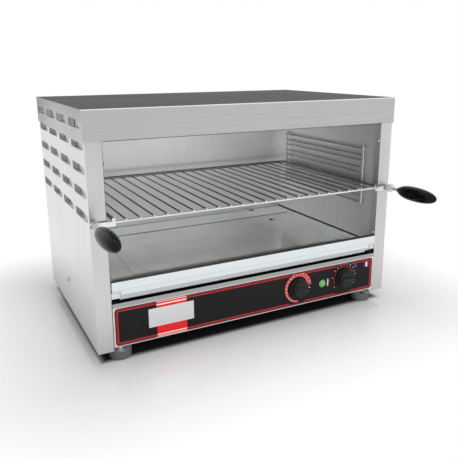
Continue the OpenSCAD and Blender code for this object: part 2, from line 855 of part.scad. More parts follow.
// Domed green lens of the pilot lamp
module lamp_lens() {
    dome = lamp_d / 3;
    r = (pow(lamp_d / 2, 2) + pow(dome, 2)) / (2 * dome);
    y = foil_y - 1.2;
    color("limegreen") cabinet() {
        rod_y(lamp_x, [y, foil_y + 6], foil_mid, lamp_d);
        intersection() {
            translate([lamp_x, y - dome + r, foil_mid]) sphere(r = r);
            rod_y(lamp_x, [y - dome - 1, y + 1], foil_mid, lamp_d);
        }
    }
}

// Terminal block on the base pan
module terminal_block() {
    x = gland_x - 70;
    y = back_y - 60;
    z = base_z + panel_t;
    color("ivory") cabinet() difference() {
        slab([x - 30, x + 30], [y - 12, y + 12], [z, z + 20]);
        for (i = [-2 : 2]) rod_z(x + 11 * i, y, [z + 8, z + 21], 6);
    }
}

// Cable gland in the rear panel, left without a cord
module cable_gland() {
    color("dimgray") cabinet() difference() {
        union() {
            rod_y(gland_x, [back_y - 10, back_y + 1], gland_z, gland_d);
            translate([gland_x, back_y, gland_z])
                rotate([-90, 0, 0]) cylinder(d = gland_d + 9, h = 5, $fn = 6);
            rod_y(gland_x, [back_y + 1, back_y + gland_out], gland_z, gland_d + 3);
        }
        rod_y(gland_x, [back_y - 11, back_y + gland_out + 1], gland_z, gland_d * 0.5);
    }
}

// Lock nut of the cable gland
module gland_nut() {
    color("dimgray") cabinet() difference() {
        translate([gland_x, flange_y - 4, gland_z])
            rotate([-90, 0, 0]) cylinder(d = gland_d + 9, h = 4, $fn = 6);
        rod_y(gland_x, [flange_y - 5, back_y], gland_z, gland_d + 0.04);
    }
}

// Wires: from the terminal block to the controls, and up the right side to the tubes
loom_d = 4;
loom_x = liner_x + 13.3;
loom_y = louvre_y + 2 * louvre_step_y - (louvre_step_y - louvre_l) / 2;
loom_z = base_z + panel_t + 6;

module wire_run(points) {
    for (i = [0 : len(points) - 2]) {
        a = points[i];
        b = points[i + 1];
        d = b - a;
        translate(a)
            rotate([0, acos(d[2] / norm(d)), atan2(d[1], d[0])])
                cylinder(d = loom_d, h = norm(d));
    }
    for (p = points) translate(p) sphere(d = loom_d * 1.25);
}

// Branch of the loom to the rear of a control
module control_wire(x, y, z, end_y) {
    rod_z(x, y, [loom_z, z], loom_d);
    rod_y(x, [end_y, y], z, loom_d);
    for (end = [loom_z, z]) translate([x, y, end]) sphere(d = loom_d * 1.25);
}

module wiring_loom() {
    block_x = gland_x - 70;
    block_y = back_y - 72 - loom_d * 0.625 - seat_gap;
    control_y = lining_y + max(heat_depth, timer_depth) + 12;
    top_x = liner_x + 7;
    top_z = ceiling_z - 2;
    ys = tube_ys();
    color("sienna") cabinet() {
        wire_run([[block_x, block_y, loom_z], [block_x, control_y, loom_z],
                  [loom_x, control_y, loom_z], [loom_x, loom_y, loom_z],
                  [loom_x, loom_y, top_z], [top_x, loom_y, top_z],
                  [top_x, ys[0], top_z]]);
        wire_run([[top_x, loom_y, top_z], [top_x, ys[tubes - 1], top_z]]);
        for (y = ys) rod_z(top_x, y, [tube_z + cap_d / 2, top_z], loom_d);
        wire_run([[block_x, control_y, loom_z], [heat_x, control_y, loom_z]]);
        control_wire(heat_x, control_y, control_z, lining_y + heat_depth);
        control_wire(timer_x, control_y, control_z, lining_y + timer_depth);
        control_wire(lamp_x, control_y, foil_mid, lining_y + lamp_depth);
    }
}

// Levelling foot: a rounded pad on a threaded stud
module foot(side, y) {
    z1 = foot_t - foot_h;
    r = 4;
    color("dimgray") cabinet() {
        translate([side * foot_px, y, -foot_h]) {
            rod_z(0, 0, [r, foot_t], foot_d);
            rod_z(0, 0, [0, r], foot_d - 2 * r);
            rotate_extrude() translate([foot_d / 2 - r, r]) circle(r = r);
        }
        rod_z(side * foot_px, y, [z1 - 1, base_z + panel_t + 12], foot_stud);
    }
}

module foot_front_left() { foot(-1, foot_py[0]); }
module foot_front_right() { foot(1, foot_py[0]); }
module foot_rear_left() { foot(-1, foot_py[1]); }
module foot_rear_right() { foot(1, foot_py[1]); }

// Nuts under the base pan, in which the feet turn
module foot_nuts() {
    color("silver") cabinet()
        for (side = [-1, 1], y = foot_py) difference() {
            translate([side * foot_px, y, base_z - nut_h])
                cylinder(d = nut_af / cos(30), h = nut_h, $fn = 6);
            rod_z(side * foot_px, y, [-1, base_z + 1], foot_stud + 2 * stud_play);
        }
}

// Domed screw along x, its head's seat at x and its shank towards +x
module screw_x(x, y, z, head_d, head_h, length) {
    rod_x([x, x + length], y, z, 4);
    intersection() {
        translate([x + head_d * 0.62 - head_h, y, z]) sphere(r = head_d * 0.62);
        rod_x([x - head_h, x], y, z, head_d);
    }
}

// Screws that hold the lining behind the stiles
module wall_screws() {
    color("silver") cabinet()
        for (side = [-1, 1], z = wall_screw_z)
            on_side(side) screw_x(aperture_x, wall_screw_y, z, 7.5, 2.6, 7);
}

// Screws that hold the deck between the side panels
module side_screws() {
    color("silver") cabinet()
        for (side = [-1, 1])
            on_side(side)
                translate([2 * side_x, 0, 0]) mirror([1, 0, 0])
                    screw_x(side_x, side_screw_y, side_screw_z, 9.5, 5, 8);
}

// Screws of the rear panel
module rear_screws() {
    color("silver") cabinet()
        for (side = [-1, 1], z = rear_screw_z)
            translate([side * rear_screw_x, back_y, z]) rotate([0, 0, 90])
                mirror([1, 0, 0]) screw_x(0, 0, 0, 7.5, 2.4, 8);
}

top_cover();
side_panel_left();
side_panel_right();
rear_panel();
base_pan();
control_panel();
panel_foil();
nameplate();
liner_left();
liner_right();
liner_rear();
ceiling_reflector();
deck_plate();
tray_runner_left();
tray_runner_right();
crumb_tray();
drip_plate();
rack_guide_left();
rack_guide_right();
wire_shelf();
handle_stem_left();
handle_stem_right();
handle_nuts();
grip_left();
grip_right();
quartz_tubes();
heating_coils();
tube_caps();
heat_regulator();
heat_spindle();
heat_knob();
timer_case();
timer_spindle();
timer_knob();
lamp_body();
lamp_lens();
terminal_block();
cable_gland();
gland_nut();
wiring_loom();
foot_front_left();
foot_front_right();
foot_rear_left();
foot_rear_right();
foot_nuts();
wall_screws();
side_screws();
rear_screws();
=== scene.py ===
import json
import math

import bmesh
import bpy
from mathutils import Matrix, Vector

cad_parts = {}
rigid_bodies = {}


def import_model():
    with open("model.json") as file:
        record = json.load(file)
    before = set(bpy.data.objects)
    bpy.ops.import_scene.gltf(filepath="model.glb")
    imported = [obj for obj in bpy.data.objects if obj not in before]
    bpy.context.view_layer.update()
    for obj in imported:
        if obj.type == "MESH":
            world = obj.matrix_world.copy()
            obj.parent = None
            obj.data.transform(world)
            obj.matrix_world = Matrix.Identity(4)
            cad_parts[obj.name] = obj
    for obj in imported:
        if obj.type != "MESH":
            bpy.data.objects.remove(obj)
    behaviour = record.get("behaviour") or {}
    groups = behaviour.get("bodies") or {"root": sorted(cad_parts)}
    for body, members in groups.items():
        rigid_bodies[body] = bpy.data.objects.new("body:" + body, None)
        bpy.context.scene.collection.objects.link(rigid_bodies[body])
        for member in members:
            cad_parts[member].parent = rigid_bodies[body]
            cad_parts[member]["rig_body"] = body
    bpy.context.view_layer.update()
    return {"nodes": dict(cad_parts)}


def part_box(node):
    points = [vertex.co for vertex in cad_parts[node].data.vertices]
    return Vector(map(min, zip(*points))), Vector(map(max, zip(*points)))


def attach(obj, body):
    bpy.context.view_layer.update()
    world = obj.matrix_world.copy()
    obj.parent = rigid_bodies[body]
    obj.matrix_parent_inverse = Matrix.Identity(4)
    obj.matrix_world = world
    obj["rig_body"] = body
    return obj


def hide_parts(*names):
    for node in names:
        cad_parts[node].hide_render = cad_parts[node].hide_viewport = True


bl_info = {
    "name": "Cheese melter",
    "version": (1, 0, 0),
    "blender": (4, 5, 0),
    "location": "3D Viewport > Sidebar > Melter",
    "description": "Dresses the cheese melter's frame with its sheet metal, print, wire and glass",
    "category": "Object",
}

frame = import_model()
MM = 0.001
FRONT_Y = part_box("top_cover")[0].y
PANEL_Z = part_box("side_panel_left")[0].z


def at(x, y, z):
    """A point given in millimetres from the cabinet's middle, front face and lower edge."""
    return Vector((x * MM, FRONT_Y + y * MM, PANEL_Z + z * MM))


def place_of(point):
    """A point's x, y and z in millimetres, counted from the same place as at counts them."""
    return point.x / MM, (point.y - FRONT_Y) / MM, (point.z - PANEL_Z) / MM


# Sheet metal, in millimetres as at counts them
COVER_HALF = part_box("top_cover")[1].x / MM
COVER_TOP = place_of(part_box("top_cover")[1])[2]
TRAY_TOP = place_of(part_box("crumb_tray")[1])[2]
BRIGHT_LINE = COVER_TOP - 1.4  # painted highlight: the cover's front fold is painted bright above this
RIM_LINE = COVER_TOP - 47.6  # painted shade: the cover's lower front edge is painted dark below this, over the opening
STILE_LINE = 271.8  # painted shade: the left stile's inner edge is painted dark inside this
FRONT_SHEET = 3  # the front's faces lie before this
MOUTHS = 30  # the faces of the louvres' mouths lie behind this
SKIN = 0.3  # pressed-in faces lie deeper than this under the outer face
TOP_SHEET, TOP_FOLD, TOP_ROW = 1, 3, 30  # depths of the cover's top, its folds and its louvres
LOUVRE_FIELD = (200, 370)  # the side panels have their louvres between these heights
LOUVRE_ROWS = (224, 261.5, 299, 336.5, 369)
LOUVRE_STARTS = (10, 106, 202, 298)
LOUVRE_LENGTH = 83
LOUVRE_REACH = 9  # more than half a louvre's height
LOUVRE_TAPER = ((0.0, 0.45), (0.12, 0.72), (0.3, 0.82), (1.0, 0.82))  # share along it, height
EAR_INNER = 259.5  # edges of the left runner's ear in its solid
EAR_LOWER = 91.5
EAR_STEP = 95  # the ear reaches further in below this
EAR_REACH = (-256.4, -255.4)
EAR_DROP = 1.3
EAR_DEPTH = 5  # the ear lies before this
TRAY_HOLES = ((184, 352.8), (187, 263.8))
HOLE_REACH = 6.7  # the faces of a hole's wall lie within this of its middle, and are painted as shadow

# Angles at which dress merges flat faces and rounds edges
FLAT_ANGLE = math.radians(0.3)
SHARP_ANGLE = math.radians(40)

# Turned parts, in metres
BORE = [(0.0031, 0.002), (0.0031, 0.0)]
GRIP_FACE = 0.0052
GRIP_COLLAR = 0.0058
GRIP_STEPS = 33
KNOB_FLANK = ((0.001, 0.0), (0.0, 0.0008), (0.0, 0.0026), (0.0007, 0.0031), (0.0017, 0.0033))
KNOB_CROWN = ((0.0026, 0.0052), (0.0032, 0.0042), (0.0045, 0.0036), (0.0075, 0.0034))
RIDGE_DEPTH = 0.0042
RIDGE_HEIGHT = 0.0075
RIDGE_ENDS = 0.009  # the ridge is shorter than the knob's width by this
RIDGE_ROUNDING = 0.0012
MARK_ENDS = 0.006  # the mark is shorter than the knob's radius by this
MARK_SHIFT = 0.0028
MARK_SIZE = (0.0002, 0.001)
STUD_RADIUS = 0.006
PAD_TOP = 0.01

# The foil's print, in millimetres as at counts them
INK_Y = 1.2  # the foil's face
FRAME_LINES = (  # inset, width, corner radius and gaps
    (1.6, 1.1, 5.0, ()),
    (3.7, 1.9, 3.2, ((67, 104), (176, 214))),
)
BAND_SIDES = (-196.4, -142)
BAND_LOW = (0.7, 1.7, 3.6, 5.6)  # heights over the foil's lower edge at which its ink changes
BAND_HIGH = (8.0, 5.4, 2.6, 1.2, 0.6)  # depths under the upper edge
HEAT_CENTRE = (88, 42.25)
HEAT_OUTER = 29.5
HEAT_INNER = 26.5
HEAT_TAPER = 5.5
HEAT_SEGMENTS = 17
HEAT_RANGE = (-90, -355)
HEAT_DOT = ((114.4, 38), 1.3)
SEGMENT_ENDS = (0.18, 0.82)
SEGMENT_MARGIN = 0.9
TIMER_CENTRE = (196.5, 42)
TIMER_TICKS = (171, 141, 123.5, 106.6, 91, 76.5, 57.8, 40, 21.9, 8.5, -20, -30)
TICK_HALF = 1.2
TICK_RADII = (27.3, 29.8)
TIMER_ARC = (23.2, 24.2, 200, 20)  # radii and angles
TIMER_MARK = ((29.5, 215), (26.5, 212), (26.5, 218))  # radius and angle of its corners
CLOCK = ((225, 62), 2.2, 3.2)
THERMOMETER_BULB = ((157, 34.2), 2.3)
ICON_BARS = (  # left, right, low and high edge, and ink
    (224.6, 225.4, 62, 64, 0),
    (223.6, 226.4, 66, 66.9, 0),
    (156.2, 157.8, 36, 47, 1),
)
STRIPE = 3.6  # width of each colour of the small patch

CAMERA_PLACE = (-486.322, -832.487, 455.874)
CAMERA_TURN = (75.7069, 0.1948, -27.7476)
CAMERA_SHIFT = (-0.012026, -0.046677)
CONTACT = (-0.019, -0.004)  # the floor's painted shadow fades between these distances to the outline
LAMPS = (  # name, power, size, place and aim
    ("key", 7, 1.6, (-1.0, -0.9, 2.1), (0, 0, 0.2)),
    ("fill", 5, 1.6, (1.2, -0.6, 2.0), (0, 0, 0.2)),
    ("front", 22, 1.2, (-0.2, -2.0, 0.7), (0, 0, 0.2)),
    ("inside", 0.3, 0.4, (0, 0.03, 0.335), (0, 0.03, 0)),
)


# ---------------- settings

COLOUR = {"subtype": "COLOR", "min": 0, "max": 1}


class MelterSteel(bpy.types.PropertyGroup):
    """Colours and finish of the sheet metal"""

    front: bpy.props.FloatVectorProperty(
        name="Front steel",
        description="Colour of the cover's rim, the stiles and the control panel",
        default=(0.52, 0.515, 0.505),
        **COLOUR,
    )
    # Painted light: the outer side panels are the same steel as the stiles, painted lighter
    side: bpy.props.FloatVectorProperty(
        name="Side steel",
        description="Colour of the outer side panels",
        default=(0.72, 0.72, 0.72),
        **COLOUR,
    )
    # Painted shade: the cover's top is the same sheet as its rim, painted darker
    top: bpy.props.FloatVectorProperty(
        name="Top steel",
        description="Colour of the cover's top",
        default=(0.19, 0.19, 0.19),
        **COLOUR,
    )
    lining: bpy.props.FloatVectorProperty(
        name="Lining steel",
        description="Colour of the walls of the grill space",
        default=(0.76, 0.755, 0.745),
        **COLOUR,
    )
    tray: bpy.props.FloatVectorProperty(
        name="Tray steel",
        description="Colour of the crumb tray",
        default=(0.93, 0.98, 1.0),
        **COLOUR,
    )
    fold: bpy.props.FloatProperty(
        name="Fold radius",
        description="Rounding of the folded and cut sheet edges",
        unit="LENGTH",
        default=0.0004,
        min=0.0001,
        max=0.001,
    )


class MelterPrint(bpy.types.PropertyGroup):
    """Colours of the printed foil"""

    ground: bpy.props.FloatVectorProperty(
        name="Ground",
        description="Colour of the foil's ground",
        default=(0.008, 0.008, 0.008),
        **COLOUR,
    )
    line: bpy.props.FloatVectorProperty(
        name="Lines",
        description="Colour of the border lines",
        default=(0.42, 0.022, 0.026),
        **COLOUR,
    )
    band: bpy.props.FloatVectorProperty(
        name="Band",
        description="Colour of the upright band behind the nameplate",
        default=(0.68, 0.012, 0.018),
        **COLOUR,
    )
    dial: bpy.props.FloatVectorProperty(
        name="Dial",
        description="Colour of the heat scale",
        default=(0.78, 0.24, 0.21),
        **COLOUR,
    )
    thickness: bpy.props.FloatProperty(
        name="Ink thickness",
        description="How far the print stands on the foil",
        unit="LENGTH",
        default=0.00004,
        min=0.00001,
        max=0.0002,
    )


class MelterStage(bpy.types.PropertyGroup):
    """Floor and camera"""

    floor: bpy.props.FloatVectorProperty(
        name="Floor",
        description="Colour of the floor",
        default=(0.8, 0.8, 0.8),
        **COLOUR,
    )
    fade: bpy.props.FloatProperty(
        name="Fade",
        description="Distance from the grill at which the floor turns white",
        unit="LENGTH",
        default=0.24,
        min=0.05,
        max=2,
    )
    lens: bpy.props.FloatProperty(
        name="Lens",
        description="Focal length of the camera in millimetres",
        default=44.374,
        min=20,
        max=200,
    )


# ---------------- materials


def feed(tree, node, inputs):
    """Gives a node its inputs, each of them a value or another node's output."""
    for key, value in inputs.items():
        if isinstance(value, bpy.types.NodeSocket):
            tree.links.new(value, node.inputs[key])
        else:
            node.inputs[key].default_value = value


def add(tree, kind, inputs=None, **settings):
    """Adds a shader node with its settings and inputs."""
    made = tree.nodes.new(kind)
    for key, value in settings.items():
        setattr(made, key, value)
    feed(tree, made, inputs or {})
    return made


def new_material(name, colour, metallic, roughness, specular=0.5):
    """A material with its Principled shader's plain values set, and its node tree."""
    made = bpy.data.materials.new(name)
    made.use_nodes = True
    made.diffuse_color = (*colour, 1)
    tree = made.node_tree
    plain = {"Base Color": (*colour, 1), "Metallic": metallic, "Roughness": roughness}
    feed(tree, tree.nodes["Principled BSDF"], plain | {"Specular IOR Level": specular})
    return made, tree


def object_place(tree):
    """The Object coordinates."""
    return add(tree, "ShaderNodeTexCoord").outputs["Object"]


def noise(tree, scale, size, detail, roughness=0.5):
    """Noise on Object coordinates, stretched by a scale along each axis."""
    mapping = add(tree, "ShaderNodeMapping", {"Scale": scale, "Vector": object_place(tree)})
    inputs = {"Scale": size, "Detail": detail, "Roughness": roughness}
    inputs["Vector"] = mapping.outputs["Vector"]
    return add(tree, "ShaderNodeTexNoise", inputs).outputs["Fac"]


def ramp(tree, source, low, high, start=0.3, end=0.7):
    """Turns a factor into a colour between two others."""
    made = add(tree, "ShaderNodeValToRGB", {"Fac": source})
    for element, place, colour in zip(made.color_ramp.elements, (start, end), (low, high)):
        element.position = place
        element.color = (*colour, 1)
    return made.outputs["Color"]


def spread(tree, source, low, high, start=0.3, end=0.7):
    """Turns a factor into a number between two others."""
    inputs = {"Value": source, "From Min": start, "From Max": end, "To Min": low, "To Max": high}
    return add(tree, "ShaderNodeMapRange", inputs).outputs["Result"]


def combine(tree, operation, first, second):
    """A number worked out from two others."""
    return add(tree, "ShaderNodeMath", {0: first, 1: second}, operation=operation).outputs[0]


def multiply(tree, first, second, clamp=False):
    """The product of two colours."""
    settings = {"data_type": "RGBA", "blend_type": "MULTIPLY", "clamp_result": clamp}
    inputs = {"Factor": 1.0, 6: first, 7: second}
    return add(tree, "ShaderNodeMix", inputs, **settings).outputs[2]


def surface(made, base, roughness, height, strength, distance, others=None):
    """Feeds a material's shader its colour, roughness, relief and other inputs."""
    tree = made.node_tree
    relief = {"Strength": strength, "Distance": distance, "Height": height}
    normal = add(tree, "ShaderNodeBump", relief).outputs["Normal"]
    inputs = {"Base Color": base, "Roughness": roughness, "Normal": normal}
    feed(tree, tree.nodes["Principled BSDF"], inputs | (others or {}))
    return made


def background_ray(tree):
    """1 for the camera, glossy and transmission rays that show the pale background."""
    path = add(tree, "ShaderNodeLightPath")
    value = path.outputs["Is Camera Ray"]
    for kind in ("Is Glossy Ray", "Is Transmission Ray"):
        value = combine(tree, "MAXIMUM", value, path.outputs[kind])
    return value


def tone(colour, amount):
    """A colour made lighter or darker."""
    return tuple(min(1.0, max(0.0, c * amount)) for c in colour)


def even(value):
    """The same value three times: a grey, or an even scale or turn."""
    return (value, value, value)


def brushed_steel(
    name, colour, along="x", roughness=0.3, metallic=1.0, streak=0.02, grain=0.04, edge=1.0
):
    """Brushed sheet steel: fine grain, broader streaks and faint cloudy smears."""
    made, tree = new_material(name, colour, metallic, roughness)
    fine = noise(tree, [5 if axis == along else 900 for axis in "xyz"], 1.0, 2.0)
    broad = noise(tree, [4 if axis == along else 220 for axis in "xyz"], 1.0, 4.0, 0.6)
    cloud = noise(tree, even(7), 1.0, 3.0)
    base = ramp(tree, broad, tone(colour, 1 - streak), tone(colour, 1 + streak), 0.35, 0.65)
    base = multiply(tree, base, ramp(tree, fine, even(1 - grain), even(1 + grain)))
    smear = spread(tree, cloud, roughness - 0.05, roughness + 0.06)
    return surface(made, base, smear, fine, 0.12, 0.0001, {"Specular Tint": (*even(edge), 1)})


def shade_bands(made, axis, stops):
    """Paints light and shade into a finish along an axis, from pairs of a place in millimetres and
    a shade.
    """
    tree = made.node_tree
    shader = tree.nodes["Principled BSDF"]
    places = [at(place, place, place)["XYZ".index(axis)] for place, shade in stops]
    shades = [(*even(shade), 1) for place, shade in stops]
    start, end = places[0], places[-1]
    parts = add(tree, "ShaderNodeSeparateXYZ", {0: object_place(tree)})
    along = spread(tree, parts.outputs[axis], 0.0, 1.0, start, end)
    bands = add(tree, "ShaderNodeValToRGB", {"Fac": along})
    elements = bands.color_ramp.elements
    elements[0].color, elements[1].color = shades[0], shades[-1]
    for place, shade in zip(places[1:-1], shades[1:-1]):
        elements.new((place - start) / (end - start)).color = shade
    base = shader.inputs["Base Color"].links[0].from_socket
    feed(tree, shader, {"Base Color": multiply(tree, base, bands.outputs["Color"], clamp=True)})


def bright_metal(name, colour, roughness=0.18, metallic=1.0):
    """Drawn or turned bright metal with faint draw marks."""
    made, tree = new_material(name, colour, metallic, roughness)
    marks = noise(tree, even(1), 420, 3.0)
    cloud = noise(tree, even(30), 1.0, 2.0)
    base = ramp(tree, cloud, tone(colour, 0.92), tone(colour, 1.06))
    gloss = spread(tree, marks, roughness - 0.05, roughness + 0.08)
    return surface(made, base, gloss, marks, 0.06, 0.00005)


def moulded_plastic(name, colour, roughness, size=700, dent=0.08, specular=0.5):
    """Moulded plastic with a fine skin and slight unevenness of gloss."""
    made, tree = new_material(name, colour, 0.0, roughness, specular)
    skin = noise(tree, even(1), size, 3.0)
    cloud = noise(tree, even(24), 1.0, 3.0)
    base = ramp(tree, cloud, tone(colour, 0.85), tone(colour, 1.15))
    gloss = spread(tree, cloud, roughness - 0.05, roughness + 0.07)
    return surface(made, base, gloss, skin, dent, 0.0001)


def printed_ink(name, colour, roughness=0.4, specular=0.25):
    """Screen-printed ink with a fine tooth."""
    made, tree = new_material(name, colour, 0.0, roughness, specular)
    tooth = noise(tree, even(1), 1500, 2.0)
    cloud = noise(tree, even(60), 1.0, 2.0)
    base = ramp(tree, cloud, tone(colour, 0.93), tone(colour, 1.07))
    gloss = spread(tree, tooth, roughness - 0.05, roughness + 0.05)
    return surface(made, base, gloss, tooth, 0.04, 0.00003)


def ceramic(name, colour):
    """Unglazed heater ceramic with a chalky skin and faint specks."""
    made, tree = new_material(name, colour, 0.0, 0.7)
    specks = noise(tree, even(1), 900, 5.0, 0.7)
    base = ramp(tree, specks, tone(colour, 0.8), colour, 0.25, 0.5)
    return surface(made, base, spread(tree, specks, 0.6, 0.8), specks, 0.2, 0.0001)


def quartz_glass(name):
    """Clear quartz with a thin haze from the heat."""
    made, tree = new_material(name, (0.9, 0.88, 0.85), 0.0, 0.12)
    haze = noise(tree, (12, 160, 160), 1.0, 4.0)
    base = ramp(tree, haze, (0.78, 0.76, 0.72), (0.95, 0.94, 0.92))
    clear = {"Transmission Weight": 0.85, "IOR": 1.46}
    return surface(made, base, spread(tree, haze, 0.08, 0.2), haze, 0.05, 0.0001, clear)


def woven_sleeve(name, colour):
    """Glass-fibre wire sleeve with crossing threads."""
    made, tree = new_material(name, colour, 0.0, 0.75)
    place = object_place(tree)
    threads = []
    for turn in (0.6, -0.6):
        mapping = add(tree, "ShaderNodeMapping", {"Rotation": even(turn), "Vector": place})
        inputs = {"Scale": 240.0, "Distortion": 0.4, "Vector": mapping.outputs["Vector"]}
        threads.append(add(tree, "ShaderNodeTexWave", inputs).outputs["Fac"])
    weave = combine(tree, "MAXIMUM", *threads)
    base = ramp(tree, weave, tone(colour, 0.6), colour, 0.1, 0.9)
    return surface(made, base, 0.75, weave, 0.5, 0.0002)


def lamp_plastic(name, colour):
    """Clear tinted lens with a fine inner ribbing."""
    made, tree = new_material(name, colour, 0.0, 0.12)
    ribs = noise(tree, even(1), 900, 1.0)
    base = ramp(tree, ribs, tone(colour, 0.7), tone(colour, 1.25))
    glow = {"Emission Color": (*colour, 1), "Emission Strength": 0.25, "Coat Weight": 0.6}
    return surface(made, base, 0.12, ribs, 0.1, 0.0001, glow)


def counted_from(starts, stops):
    """Stops for shade_bands, counted from each of the starts in turn."""
    return [(start + place, shade) for start in starts for place, shade in stops]


# painted shade along the tray front's lower fold and its rib
TRAY_FOLD = ((-27.5, 0.64), (-23, 0.66), (-22, 0.97))
TRAY_RIB = ((-15.6, 0.97), (-14.5, 0.78), (-13.4, 0.97))
# painted light and shade, in bands along an axis of each finish
SHADES = (  # finish, axis and stops
    # painted shade along the cover's lower front edge, over the opening only
    (
        "rim_edge",
        "X",
        ((-300, 1.0), (-271.5, 1.0), (-271, 0.12), (271, 0.12), (271.5, 1.0), (300, 1.0)),
    ),
    # painted light: the stiles are painted lighter than the rest of the front steel
    ("stile", "Z", ((0, 1.2), (60, 1.3), (290, 1.25), (376, 1.1))),
    # painted shade in the louvres' mouths, with painted highlights along their top and bottom edges
    ("louvre", "Z", counted_from(LOUVRE_ROWS, ((-7.1, 1.8), (-5, 1.0), (3.8, 1.0), (7.1, 2.0)))),
    # painted light on the louvres' lower walls, painted shade towards their deep rear ends
    (
        "louvre_wall",
        "Y",
        counted_from(LOUVRE_STARTS, ((0, 1.0), (38, 0.95), (50, 0.5), (LOUVRE_LENGTH, 0.35))),
    ),
    # painted light and shade: the side panels' louvre ramps are painted darker at their front ends
    # and lighter towards their deep ends
    ("scoop", "Y", counted_from(LOUVRE_STARTS, ((0, 0.8), (LOUVRE_LENGTH, 1.5)))),
    # painted highlight at the front ends of the cover's louvre ramps, painted shade behind it and
    # painted light again at their deep ends
    (
        "bright_scoop",
        "Y",
        counted_from(LOUVRE_STARTS, ((0, 1.3), (16, 1.2), (26, 0.7), (LOUVRE_LENGTH, 1.3))),
    ),
    # painted light and shade on the cover's sides: lighter at the front, darker towards the rear
    # and the top
    ("cover_side", "Y", ((0, 1.25), (130, 1.15), (260, 0.95), (386, 0.75))),
    (
        "cover_side",
        "Z",
        counted_from([COVER_TOP], ((-48.5, 1.0), (-30, 0.95), (-14, 0.78), (0, 0.68))),
    ),
    # painted light on the control panel round the foil, painted shade on its strip above the foil,
    # under the tray
    ("panel", "Z", ((5, 1.5), (74.2, 1.5), (74.6, 0.8), (82, 0.8))),
    # painted reflection of the floor's shadow: the side panels are painted darker towards the
    # bottom
    ("side", "Z", ((0, 0.84), (60, 0.98), (110, 1.1), (376, 1.07))),
    # painted shade on the rear wall below the shelf
    ("rear_lining", "Z", ((100, 0.86), (200, 0.86), (226, 0.98), (376, 0.98))),
    # painted light: the right wall is painted lighter towards the rear
    ("right_lining", "Y", ((0, 1.0), (50, 1.1), (110, 1.25), (220, 1.42), (366, 1.7))),
    # painted shade on the tray's front: darker lines at its fold and rib
    ("tray_front", "Z", counted_from([TRAY_TOP], (*TRAY_FOLD, *TRAY_RIB, (-4, 0.97), (0, 1.0)))),
    # painted shade: the tray floor is painted dark along its front end, behind the tray's front,
    # and near black at its rear fold
    ("well", "Y", ((15, 0.35), (88, 0.35), (96, 1.0), (294, 1.0), (295.5, 0.03), (300, 0.03))),
    # painted shade: the drip plate is painted dark along its front end, behind the tray's front
    ("mirror", "Y", ((15, 0.35), (88, 0.35), (96, 1.0), (257, 1.0))),
)
MATERIALS = {}


